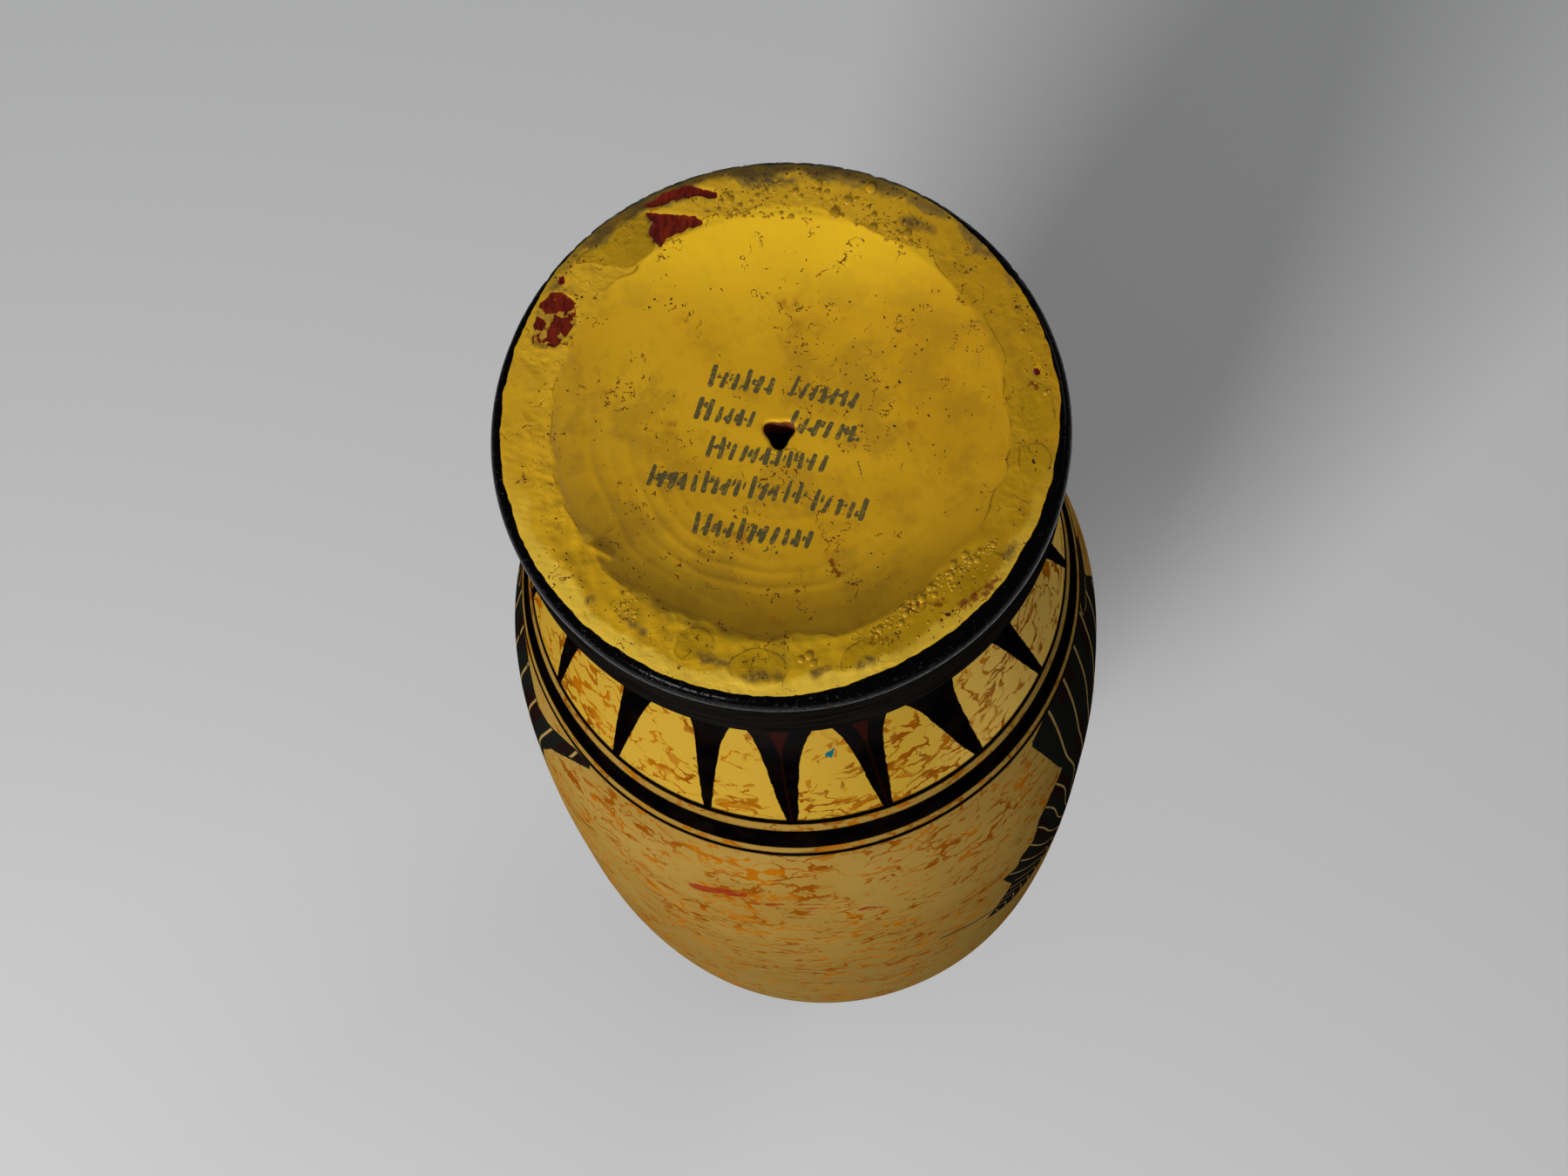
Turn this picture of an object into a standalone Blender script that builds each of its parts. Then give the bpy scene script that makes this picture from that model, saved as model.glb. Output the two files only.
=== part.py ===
"""A fired clay lekythos: a tall oil flask with a disc foot, a narrow neck, a cup mouth and one strap handle.

It stands on its foot at z = 0, the axis is Z, the handle is at the back (+Y), all sizes are in metres.
"""

import math

import bmesh
import bpy
from mathutils import Vector

# Foot: a thick turned disc, dished underneath round a small vent hole
FOOT_RADIUS = 0.0380
FOOT_SIDE_BULGE = 0.0013
FOOT_ARRIS = 0.0024
FOOT_TOP_ROUND = 0.0012
FOOT_HEIGHT = 0.0165
FOOT_TOP_SLOPE = 0.0022
FOOT_RING_WIDTH = 0.0065
DISH_DEPTH = 0.0026
VENT_RADIUS = 0.0019
FLOOR_THICKNESS = 0.0060

# Body: it flares from the stem to a nearly upright wall, then turns in at the shoulder
STEM_RADIUS = 0.0200
STEM_FILLET = 0.0020
BODY_RADIUS = 0.0544
BODY_HEIGHT = 0.2210
WALL = 0.0045

# Shoulder, neck and mouth
SHOULDER_RISE = 0.0195
NECK_RADIUS = 0.0155
NECK_LENGTH = 0.0300
MOUTH_RADIUS = 0.0335
MOUTH_HEIGHT = 0.0430
MOUTH_RIM_ROUND = 0.0012

# Handle: a flat strap that leaves the shoulder square to it, rises and turns in to the top of the neck
HANDLE_WIDTH = 0.0190
HANDLE_THICKNESS = 0.0075
HANDLE_FOOT_INSET = 0.0110
HANDLE_LEAN = 0.0040
HANDLE_TOP_GAP = 0.0045
HANDLE_BEND = 0.0150
HANDLE_ROOT_SHARE = 0.6

# Facets
TURNED_SEGMENTS = 48
DISH_STEPS = 5
STRAP_SIDES = 12
STRAP_STEPS = 5
SMOOTH_ANGLE = math.radians(38)

# The body's outline: how far up the body, and how far out from the stem's radius to the belly's
BODY_OUTLINE = (
    (0.000, 0.000),
    (0.014, 0.090),
    (0.045, 0.260),
    (0.088, 0.420),
    (0.139, 0.565),
    (0.210, 0.712),
    (0.251, 0.783),
    (0.320, 0.875),
    (0.457, 0.950),
    (0.629, 0.988),
    (0.767, 1.000),
    (0.857, 0.991),
    (0.932, 0.962),
    (0.972, 0.905),
    (1.000, 0.790),
)
# The shoulder's outline: how far up its rise, and how far in from its outer edge to the neck
SHOULDER_OUTLINE = (
    (0.30, 0.22),
    (0.56, 0.50),
    (0.78, 0.80),
    (1.00, 0.965),
)
# The mouth's outline: how far up the cup, and how far out from the neck to the lip
MOUTH_OUTLINE = (
    (0.00, 0.05),
    (0.10, 0.22),
    (0.22, 0.54),
    (0.42, 0.75),
    (0.72, 0.88),
)

FOOT_SIDE_RADIUS = FOOT_RADIUS + FOOT_SIDE_BULGE
DISH_RADIUS = FOOT_RADIUS - FOOT_RING_WIDTH
BODY_BASE = FOOT_HEIGHT + FOOT_TOP_SLOPE + STEM_FILLET
SHOULDER_BASE = BODY_BASE + BODY_HEIGHT
NECK_BASE = SHOULDER_BASE + SHOULDER_RISE
MOUTH_BASE = NECK_BASE + NECK_LENGTH
HEIGHT = MOUTH_BASE + MOUTH_HEIGHT
SHOULDER_RADIUS = STEM_RADIUS + (BODY_RADIUS - STEM_RADIUS) * BODY_OUTLINE[-1][1]


def underside_profile():
    """From the vent's edge out along the shallow dish to the flat ring that the foot stands on."""
    points = []
    for step in range(DISH_STEPS + 1):
        radius = VENT_RADIUS + (DISH_RADIUS - VENT_RADIUS) * step / DISH_STEPS
        points.append((radius, DISH_DEPTH * (1 - (radius / DISH_RADIUS) ** 2)))
    points.append((FOOT_RADIUS, 0.0))
    return points


def foot_side_profile():
    """The rounded lower edge, the upright side and the sloping top of the foot."""
    return [
        (FOOT_RADIUS + FOOT_SIDE_BULGE * 0.7, FOOT_ARRIS * 0.3),
        (FOOT_SIDE_RADIUS, FOOT_ARRIS),
        (FOOT_SIDE_RADIUS, FOOT_HEIGHT * 0.5),
        (FOOT_SIDE_RADIUS - FOOT_SIDE_BULGE * 0.3, FOOT_HEIGHT - FOOT_TOP_ROUND),
        (FOOT_RADIUS - FOOT_TOP_ROUND, FOOT_HEIGHT),
        ((FOOT_RADIUS + STEM_RADIUS) / 2, FOOT_HEIGHT + FOOT_TOP_SLOPE * 0.45),
        (STEM_RADIUS + STEM_FILLET * 0.7, FOOT_HEIGHT + FOOT_TOP_SLOPE),
    ]


def shoulder_profile():
    """The shoulder's slope, from just inside its outer edge up to the neck."""
    return [
        (SHOULDER_RADIUS + (NECK_RADIUS - SHOULDER_RADIUS) * inward, SHOULDER_BASE + SHOULDER_RISE * up)
        for up, inward in SHOULDER_OUTLINE
    ]


def upper_profile():
    """The body, shoulder, neck and mouth, from the stem up to the lip."""
    points = [
        (STEM_RADIUS + (BODY_RADIUS - STEM_RADIUS) * out, BODY_BASE + BODY_HEIGHT * up)
        for up, out in BODY_OUTLINE
    ]
    points += shoulder_profile()
    points.append((NECK_RADIUS, NECK_BASE + NECK_LENGTH * 0.2))
    points.append((NECK_RADIUS, NECK_BASE + NECK_LENGTH * 0.75))
    points += [
        (NECK_RADIUS + (MOUTH_RADIUS - NECK_RADIUS) * out, MOUTH_BASE + MOUTH_HEIGHT * up)
        for up, out in MOUTH_OUTLINE
    ]
    return points


def offset_inward(points, distance):
    """The same line moved square to itself, towards the axis side, by the wall's thickness."""
    moved = []
    for index, point in enumerate(points):
        before = Vector(points[max(index - 1, 0)])
        after = Vector(points[min(index + 1, len(points) - 1)])
        along = (after - before).normalized()
        moved.append((point[0] - along.y * distance, point[1] + along.x * distance))
    return moved


def vessel_profile():
    """The closed (radius, height) loop that is turned round the axis."""
    outside = upper_profile()
    lip = [
        (MOUTH_RADIUS, HEIGHT - MOUTH_RIM_ROUND),
        (MOUTH_RADIUS - MOUTH_RIM_ROUND, HEIGHT),
        (MOUTH_RADIUS - WALL + MOUTH_RIM_ROUND, HEIGHT),
        (MOUTH_RADIUS - WALL, HEIGHT - MOUTH_RIM_ROUND),
    ]
    floor_height = DISH_DEPTH + FLOOR_THICKNESS
    inside = offset_inward(outside, WALL)[::-1]
    stem_bore = inside[-1][0] * 0.8
    well = [
        (stem_bore, BODY_BASE * 0.75 + floor_height * 0.25),
        (stem_bore * 0.9, floor_height + WALL * 0.3),
        (stem_bore * 0.6, floor_height),
        (VENT_RADIUS, floor_height),
    ]
    return underside_profile() + foot_side_profile() + outside + lip + inside + well


def turned(name, profile, segments):
    """A closed profile loop spun round the Z axis into one solid."""
    bm = bmesh.new()
    loop = [bm.verts.new((radius, 0.0, height)) for radius, height in profile]
    edges = [bm.edges.new((loop[i - 1], loop[i])) for i in range(len(loop))]
    bmesh.ops.spin(
        bm,
        geom=loop + edges,
        cent=(0, 0, 0),
        axis=(0, 0, 1),
        angle=math.tau,
        steps=segments,
        use_merge=True,
    )
    bmesh.ops.remove_doubles(bm, verts=bm.verts, dist=1e-6)
    bmesh.ops.recalc_face_normals(bm, faces=bm.faces)
    mesh = bpy.data.meshes.new(name)
    bm.to_mesh(mesh)
    bm.free()
    return mesh


def bezier(points, steps):
    """Points along a cubic curve from its four control points."""
    found = []
    for step in range(steps + 1):
        t = step / steps
        weights = ((1 - t) ** 3, 3 * t * (1 - t) ** 2, 3 * t * t * (1 - t), t**3)
        found.append(sum((w * p for w, p in zip(weights, points)), Vector((0, 0, 0))))
    return found


def shoulder_seat(radius):
    """The point of the shoulder's outer surface at this radius, at the back, and the surface's normal there."""
    line = [(SHOULDER_RADIUS, SHOULDER_BASE)] + shoulder_profile()
    for (outer, low), (inner, high) in zip(line, line[1:]):
        if radius >= inner:
            share = (outer - radius) / (outer - inner)
            normal = Vector((0, high - low, outer - inner)).normalized()
            return Vector((0, radius, low + (high - low) * share)), normal
    return Vector((0, radius, NECK_BASE)), Vector((0, 0, 1))


def handle_path():
    """The strap's middle line in the Y-Z plane: up from the shoulder, over, and in to the neck."""
    sink = WALL * HANDLE_ROOT_SHARE
    seat, normal = shoulder_seat(SHOULDER_RADIUS - HANDLE_FOOT_INSET)
    foot = seat - normal * sink
    top = MOUTH_BASE - HANDLE_TOP_GAP - HANDLE_THICKNESS / 2
    rise = Vector((0, seat.y + HANDLE_LEAN, top - HANDLE_BEND))
    over = Vector((0, rise.y - HANDLE_BEND, top))
    end = Vector((0, NECK_RADIUS - sink, top))
    reach = (rise - foot).length / 3
    upright = bezier((foot, foot + normal * reach, rise - Vector((0, 0, reach)), rise), STRAP_STEPS)
    quarter = HANDLE_BEND * 0.55
    corner = bezier((rise, rise + Vector((0, 0, quarter)), over + Vector((0, quarter, 0)), over), STRAP_STEPS)
    return upright + corner[1:] + [over.lerp(end, 0.5), end]


def strap(name, path, width, thickness):
    """A flattened rod with a soft oblong section, swept along a path in the Y-Z plane."""
    bm = bmesh.new()
    rings = []
    for index, centre in enumerate(path):
        before = path[max(index - 1, 0)]
        after = path[min(index + 1, len(path) - 1)]
        along = (after - before).normalized()
        outward = Vector((1, 0, 0)).cross(along)
        ring = []
        for side in range(STRAP_SIDES):
            turn = math.tau * side / STRAP_SIDES
            across = math.copysign(abs(math.cos(turn)) ** 0.7, math.cos(turn)) * width / 2
            through = math.copysign(abs(math.sin(turn)) ** 0.8, math.sin(turn)) * thickness / 2
            ring.append(bm.verts.new(centre + Vector((across, 0, 0)) + outward * through))
        rings.append(ring)
    for one, other in zip(rings, rings[1:]):
        for side in range(STRAP_SIDES):
            after = (side + 1) % STRAP_SIDES
            bm.faces.new((one[side], one[after], other[after], other[side]))
    bm.faces.new(rings[0][::-1])
    bm.faces.new(rings[-1])
    bmesh.ops.recalc_face_normals(bm, faces=bm.faces)
    mesh = bpy.data.meshes.new(name)
    bm.to_mesh(mesh)
    bm.free()
    return mesh


def glazed_clay():
    """Cream painted clay under a clear gloss."""
    material = bpy.data.materials.new("glazed_clay")
    material.use_nodes = True
    shader = material.node_tree.nodes["Principled BSDF"]
    shader.inputs["Base Color"].default_value = (0.56, 0.36, 0.09, 1.0)
    shader.inputs["Roughness"].default_value = 0.32
    shader.inputs["Metallic"].default_value = 0.0
    return material


def add_object(name, mesh):
    obj = bpy.data.objects.new(name, mesh)
    bpy.context.scene.collection.objects.link(obj)
    return obj


def main():
    for obj in list(bpy.data.objects):
        bpy.data.objects.remove(obj)

    vessel = add_object("lekythos", turned("lekythos", vessel_profile(), TURNED_SEGMENTS))
    vessel.data.materials.append(glazed_clay())

    handle = add_object("handle_blank", strap("handle_blank", handle_path(), HANDLE_WIDTH, HANDLE_THICKNESS))
    handle.hide_render = True
    handle.display_type = "WIRE"

    join = vessel.modifiers.new("handle", "BOOLEAN")
    join.operation = "UNION"
    join.solver = "EXACT"
    join.object = handle

    vessel.data.shade_smooth()
    vessel.data.set_sharp_from_angle(angle=SMOOTH_ANGLE)


main()
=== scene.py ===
"""The looks of a souvenir lekythos: yellow lacquer underneath, and black rays, bands and a frieze on cream.

The vase stands upright on its foot at z = 0 with its handle at the back, +Y. The camera looks up at the
underside, as the photograph shows the vase turned over on its mouth. Lengths are metres, and names that
end in _MM, and every outline, are in millimetres.
"""

import math
import random

import bpy
import numpy as np
from mathutils import Matrix, Vector, noise


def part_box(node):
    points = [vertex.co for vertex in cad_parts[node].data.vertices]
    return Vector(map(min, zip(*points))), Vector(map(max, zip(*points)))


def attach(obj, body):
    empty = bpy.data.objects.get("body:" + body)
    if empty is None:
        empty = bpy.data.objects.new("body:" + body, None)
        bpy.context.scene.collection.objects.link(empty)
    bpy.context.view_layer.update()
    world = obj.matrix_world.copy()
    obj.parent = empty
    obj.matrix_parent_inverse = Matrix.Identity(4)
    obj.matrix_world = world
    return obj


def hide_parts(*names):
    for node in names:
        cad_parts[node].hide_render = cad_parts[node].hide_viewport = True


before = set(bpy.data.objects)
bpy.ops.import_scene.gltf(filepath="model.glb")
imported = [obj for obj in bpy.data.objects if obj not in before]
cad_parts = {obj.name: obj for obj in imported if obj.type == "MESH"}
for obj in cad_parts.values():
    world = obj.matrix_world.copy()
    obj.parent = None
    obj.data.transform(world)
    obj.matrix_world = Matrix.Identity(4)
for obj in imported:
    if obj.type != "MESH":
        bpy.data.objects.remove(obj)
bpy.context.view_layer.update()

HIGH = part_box("lekythos")[1]
MM = 0.001

# The vase's own sizes, from the solid or as the solid has them
HEIGHT_MM = HIGH.z / MM
BODY_RADIUS_MM = HIGH.x / MM
FOOT_RADIUS_MM = 38.0
FLAT_RADIUS_MM = FOOT_RADIUS_MM - 0.1
FOOT_SIDE_RADIUS_MM = 39.3
FOOT_ARRIS_MM = 2.4
FOOT_HEIGHT_MM = 16.5
FOOT_TOP_MM = 18.7
RING_LIFT_MM = 0.3
DISH_RADIUS_MM = 30.7
DISH_DEPTH_MM = 3.0
DISH_POWER = 3.0
VENT_RADIUS_MM = 1.8
VENT_LIP_MM = 0.5
VENT_MIDDLE_MM = 1.98
VENT_CORNER_MM = 0.36
VENT_SHIFT_MM = (-0.2, 0.3)
FLOOR_TOP_MM = 8.6
STEM_RADIUS_MM = 20.0
STEM_JOINT_MM = 21.5
STEM_BORE_MM = 15.4
BODY_BASE_MM = 20.7
SHOULDER_BASE_MM = 241.7
NECK_BASE_MM = 261.2
MOUTH_BASE_MM = 291.2
NECK_RADIUS_MM = 15.5
MOUTH_RADIUS_MM = 33.5
RIM_ROUND_MM = 1.2
WALL_MM = 4.5

# How finely the pieces are cut
FOOT_SEGMENTS = 540
BODY_SEGMENTS = 336
STRAP_SIDES = 56
UNDERSIDE_STEP_MM = 0.34
FOOT_STEP_MM = 0.9
WELL_STEP_MM = 1.2
BODY_STEP_MM = 1.4
NECK_STEP_MM = 2.2
INSIDE_STEP_MM = 6.0
HANDLE_STEP_MM = 0.9

# How far the potter's hand strays from a true round, as shares of the radius, and the rim's wear
FOOT_UNEVEN = 0.0022
BODY_UNEVEN = 0.0035
BODY_RIPPLE = 0.0008
RIM_WEAR_MM = 0.5

# Outlines from stem to shoulder, on to the neck, and from the neck to the lip: share up, share across
BODY_OUTLINE = (
    (0.014, 0.090), (0.045, 0.260), (0.088, 0.420), (0.139, 0.565), (0.210, 0.712), (0.251, 0.783),
    (0.320, 0.875), (0.457, 0.950), (0.629, 0.988), (0.767, 1.000), (0.857, 0.991), (0.932, 0.962),
    (0.972, 0.905), (1.000, 0.790),
)
SHOULDER_OUTLINE = ((0.30, 0.22), (0.56, 0.50), (0.78, 0.80), (1.00, 0.965))
MOUTH_OUTLINE = ((0.00, 0.05), (0.10, 0.22), (0.22, 0.54), (0.42, 0.75), (0.72, 0.88))
SHOULDER_RADIUS_MM = STEM_RADIUS_MM + (BODY_RADIUS_MM - STEM_RADIUS_MM) * BODY_OUTLINE[-1][1]

# The photograph's camera, in the vase's frame
CAMERA_PLACE = Vector((0.01444, 0.10708, -0.28485))
CAMERA_AHEAD = Vector((-0.04554, -0.28217, 0.95828))
CAMERA_UP = Vector((0.0, -0.95928, -0.28246))
CAMERA_LENS = 52.0


def spaced(points, step):
    """The same line with a point about every step along it."""
    points = np.array(points, float)
    lengths = np.concatenate(([0.0], np.cumsum(np.hypot(*np.diff(points, axis=0).T))))
    places = np.linspace(0.0, lengths[-1], max(1, round(lengths[-1] / step)) + 1)
    return np.column_stack([np.interp(places, lengths, points[:, k]) for k in (0, 1)])


def flowing(points, step):
    """A smooth curve through the points, cut at an even spacing."""
    line = [np.array(point, float) for point in points]
    line = [2 * line[0] - line[1]] + line + [2 * line[-1] - line[-2]]
    fine = []
    for a, b, c, d in zip(line, line[1:], line[2:], line[3:]):
        ta = 0.0
        tb = ta + math.sqrt(np.linalg.norm(b - a))
        tc = tb + math.sqrt(np.linalg.norm(c - b))
        td = tc + math.sqrt(np.linalg.norm(d - c))
        for t in np.linspace(tb, tc, 16, endpoint=False):
            ab = ((tb - t) * a + (t - ta) * b) / (tb - ta)
            bc = ((tc - t) * b + (t - tb) * c) / (tc - tb)
            cd = ((td - t) * c + (t - tc) * d) / (td - tc)
            abc = ((tc - t) * ab + (t - ta) * bc) / (tc - ta)
            bcd = ((td - t) * bc + (t - tb) * cd) / (td - tb)
            fine.append(((tc - t) * abc + (t - tb) * bcd) / (tc - tb))
    fine.append(line[-2])
    return spaced(fine, step)


def arc(centre, size, start, end, steps):
    """Points on an ellipse about a centre (radius, height), from one angle in degrees to another."""
    turns = np.radians(np.linspace(start, end, steps + 1))
    return np.array(centre) + np.column_stack((np.cos(turns), np.sin(turns))) * size


def shaped(outline, start, end):
    """An outline of shares up and across, as radii and heights from a start to an end (radius, height)."""
    wide, tall = end[0] - start[0], end[1] - start[1]
    return [(start[0] + wide * out, start[1] + tall * up) for up, out in outline]


def offset_inward(points, distance):
    """A line moved square to itself, towards the axis side."""
    along = np.gradient(points, axis=0)
    along /= np.linalg.norm(along, axis=1)[:, None]
    return points + np.column_stack((-along[:, 1], along[:, 0])) * distance


def dish_height(radius):
    """How far the smooth underside is above the standing surface at a radius."""
    share = np.clip(radius / DISH_RADIUS_MM, 0.0, 1.0)
    return RING_LIFT_MM + DISH_DEPTH_MM * (1.0 - share**DISH_POWER)


def foot_loop():
    """The foot's closed profile, from the vent's lip along the underside, up the side and down the well."""
    lip_radius = VENT_RADIUS_MM + VENT_LIP_MM
    vent_floor = float(dish_height(lip_radius))
    radii = np.linspace(lip_radius, FLAT_RADIUS_MM, round((FOOT_RADIUS_MM - lip_radius) / UNDERSIDE_STEP_MM))
    arris_size = (FOOT_SIDE_RADIUS_MM - FLAT_RADIUS_MM, FOOT_ARRIS_MM - RING_LIFT_MM)
    side = (
        (FOOT_SIDE_RADIUS_MM, FOOT_ARRIS_MM + FOOT_STEP_MM),
        (FOOT_SIDE_RADIUS_MM - 0.15, FOOT_HEIGHT_MM * 0.55),
        (FOOT_SIDE_RADIUS_MM - 0.1, FOOT_HEIGHT_MM - 1.4),
    )
    top = (
        (FOOT_SIDE_RADIUS_MM - 0.3, FOOT_HEIGHT_MM - 0.7),
        (FOOT_RADIUS_MM - 0.2, FOOT_HEIGHT_MM),
        (33.0, FOOT_HEIGHT_MM + 0.5),
        (26.0, FOOT_HEIGHT_MM + 1.3),
        (STEM_RADIUS_MM + 1.4, FOOT_TOP_MM),
        (STEM_RADIUS_MM + 0.1, BODY_BASE_MM - 0.6),
    )
    well = ((STEM_BORE_MM, STEM_JOINT_MM), (13.4, 17.7), (12.1, 10.6), (9.0, FLOOR_TOP_MM + 0.1))
    well_floor = (VENT_RADIUS_MM + 0.2, FLOOR_TOP_MM)
    parts = (
        arc((lip_radius, vent_floor + VENT_LIP_MM), VENT_LIP_MM, 180, 270, 4)[:-1],
        np.column_stack((radii, dish_height(radii))),
        arc((FLAT_RADIUS_MM, FOOT_ARRIS_MM), arris_size, 270, 360, 8)[1:],
        spaced(side, FOOT_STEP_MM),
        flowing(top, FOOT_STEP_MM),
        [(STEM_RADIUS_MM + 0.4, STEM_JOINT_MM)],
        flowing((*well, well_floor), WELL_STEP_MM),
        spaced([(VENT_RADIUS_MM, FLOOR_TOP_MM - 0.4), (VENT_RADIUS_MM, vent_floor + 1.0)], 1.0),
    )
    return np.vstack(parts)


def body_loop():
    """The closed profile of the body, shoulder, neck and mouth, and how many of its points are outside."""
    stem, belly = (STEM_RADIUS_MM, BODY_BASE_MM), (BODY_RADIUS_MM, SHOULDER_BASE_MM)
    shoulder, neck = (SHOULDER_RADIUS_MM, SHOULDER_BASE_MM), (NECK_RADIUS_MM, NECK_BASE_MM)
    cup, lip = (NECK_RADIUS_MM, MOUTH_BASE_MM), (MOUTH_RADIUS_MM, HEIGHT_MM)
    points = [(STEM_RADIUS_MM + 0.4, STEM_JOINT_MM)]
    points += shaped(BODY_OUTLINE, stem, belly) + shaped(SHOULDER_OUTLINE, shoulder, neck)
    points += shaped(((0.2, 1.0), (0.75, 1.0)), neck, cup) + shaped(MOUTH_OUTLINE, cup, lip)
    points.append((MOUTH_RADIUS_MM, HEIGHT_MM - RIM_ROUND_MM))
    outline = flowing(points, BODY_STEP_MM)
    neck_and_mouth = spaced(outline[outline[:, 1] >= NECK_BASE_MM], NECK_STEP_MM)
    rim_height = HEIGHT_MM - RIM_ROUND_MM
    outer_lip = arc((MOUTH_RADIUS_MM - RIM_ROUND_MM, rim_height), RIM_ROUND_MM, 0, 90, 4)[1:]
    inner_lip = arc((MOUTH_RADIUS_MM - WALL_MM + RIM_ROUND_MM, rim_height), RIM_ROUND_MM, 90, 180, 4)[:-1]
    outside = np.vstack((outline[outline[:, 1] < NECK_BASE_MM], neck_and_mouth, outer_lip, inner_lip))
    inside = offset_inward(spaced(outline, INSIDE_STEP_MM), WALL_MM)[::-1]
    inside = inside[(inside[:, 1] < rim_height - 1) & (inside[:, 1] > STEM_JOINT_MM + 3)]
    return np.vstack((outside, inside, [(STEM_BORE_MM, STEM_JOINT_MM)])), len(outside)


class Value:
    """An output in a node tree that takes plain arithmetic: each sign adds the node that works it out."""

    def __init__(self, socket):
        self.socket = socket
        self.tree = socket.id_data

    def __add__(self, other):
        return maths("ADD", self, other)

    def __sub__(self, other):
        return maths("SUBTRACT", self, other)

    def __mul__(self, other):
        return maths("MULTIPLY", self, other)


def colour(parts):
    """A linear colour from the 0 to 255 values of a screen."""
    shares = [part / 255 for part in parts]
    return [share / 12.92 if share < 0.04 else ((share + 0.055) / 1.055) ** 2.4 for share in shares]


def feed(socket, value):
    """Links a value to an input, or sets it. A colour of three numbers is one of a screen, from 0 to 255."""
    if isinstance(value, Value):
        value.tree.links.new(value.socket, socket)
    elif socket.type == "RGBA" and len(value) == 3:
        socket.default_value = (*colour(value), 1.0)
    else:
        socket.default_value = value


def node(tree, kind, inputs=None, **settings):
    """Puts a node in a tree, with its inputs by name or number, and gives its outputs by name and number."""
    made = tree.nodes.new(kind)
    for name, value in settings.items():
        setattr(made, name, value)
    for name, value in (inputs or {}).items():
        feed(made.inputs[name], value)
    outputs = {socket.name: Value(socket) for socket in made.outputs}
    outputs.update(enumerate(map(Value, made.outputs)))
    return outputs


def tree_of(*values):
    return next(value.tree for value in values if isinstance(value, Value))


def maths(operation, *values, clamp=False):
    inputs = dict(enumerate(values))
    return node(tree_of(*values), "ShaderNodeMath", inputs, operation=operation, use_clamp=clamp)[0]


def vector(operation, *values):
    """A sum on vectors. A dot product and a distance give a number."""
    found = node(tree_of(*values), "ShaderNodeVectorMath", dict(enumerate(values)), operation=operation)
    return found["Value" if operation in ("DOT_PRODUCT", "DISTANCE") else "Vector"]


def scaled(place, factor):
    return node(place.tree, "ShaderNodeVectorMath", {0: place, "Scale": factor}, operation="SCALE")["Vector"]


def split(place):
    """The X, Y and Z of a vector."""
    parts = node(place.tree, "ShaderNodeSeparateXYZ", {"Vector": place})
    return parts["X"], parts["Y"], parts["Z"]


def joined(tree, x, y, z):
    """A vector of three numbers."""
    return node(tree, "ShaderNodeCombineXYZ", {"X": x, "Y": y, "Z": z})["Vector"]


def most(first, *others):
    """The largest of several values."""
    for other in others:
        first = maths("MAXIMUM", first, other)
    return first


def away(value, middle):
    """The distance of a value from a middle one."""
    return maths("ABSOLUTE", value - middle)


def ease(value, low, high, to_low=0.0, to_high=1.0):
    """A soft step from one number to another."""
    inputs = {"Value": value, "From Min": low, "From Max": high, "To Min": to_low, "To Max": to_high}
    return node(value.tree, "ShaderNodeMapRange", inputs, interpolation_type="SMOOTHSTEP")["Result"]


def new_group(kind, name, inputs, outputs):
    """An empty node group. A socket is given by its starting value, or by its kind where it has none."""
    kinds = {int: "Int", float: "Float", tuple: "Vector"}
    tree = bpy.data.node_groups.new(name, kind)
    for way, sockets in (("INPUT", inputs), ("OUTPUT", outputs)):
        for label, start in sockets.items():
            word = start if isinstance(start, str) else kinds[type(start)]
            socket = tree.interface.new_socket(label, in_out=way, socket_type="NodeSocket" + word)
            if word is not start:
                socket.default_value = start
    return tree, node(tree, "NodeGroupInput"), tree.nodes.new("NodeGroupOutput").inputs


def finished(geometry, material):
    """Real mesh with its material, as each geometry tree ends."""
    real = node(geometry.tree, "GeometryNodeRealizeInstances", {"Geometry": geometry})[0]
    return node(real.tree, "GeometryNodeSetMaterial", {"Geometry": real, "Material": material})[0]


def turning_tree():
    """Turns a profile curve round the Z axis: its X is the radius less one metre, its Y points down."""
    inputs = {"Profile": "Geometry", "Segments": 64, "Finish": "Material"}
    tree, given, made = new_group("GeometryNodeTree", "turned_on_the_wheel", inputs, {"Turned": "Geometry"})
    circle = {"Resolution": given["Segments"], "Radius": 1.0}
    wheel = node(tree, "GeometryNodeCurvePrimitiveCircle", circle)[0]
    turned = node(tree, "GeometryNodeCurveToMesh", {"Curve": wheel, "Profile Curve": given["Profile"]})[0]
    feed(made["Turned"], finished(turned, given["Finish"]))
    return tree


def strap_tree():
    """Sweeps a flat, soft-edged strap along a path and spreads it at both ends, where it is luted on."""
    inputs = {"Path": "Geometry", "Width": 0.019, "Thickness": 0.0075, "Spread": 0.35, "Finish": "Material"}
    tree, given, made = new_group("GeometryNodeTree", "pulled_strap", inputs, {"Strap": "Geometry"})
    ring = node(tree, "GeometryNodeCurvePrimitiveCircle", {"Resolution": STRAP_SIDES, "Radius": 0.5})[0]
    flat = {"Geometry": ring, "Scale": joined(tree, given["Thickness"], given["Width"], 1.0)}
    section = node(tree, "GeometryNodeTransform", flat)[0]
    along = node(tree, "GeometryNodeSplineParameter")["Factor"]
    spread = ease(away(along, 0.5), 0.40, 0.50) * given["Spread"] + 1.0
    path = node(tree, "GeometryNodeSetCurveRadius", {"Curve": given["Path"], "Radius": spread})[0]
    swept = {"Curve": path, "Profile Curve": section, "Fill Caps": True}
    feed(made["Strap"], finished(node(tree, "GeometryNodeCurveToMesh", swept)[0], given["Finish"]))
    return tree


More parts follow.
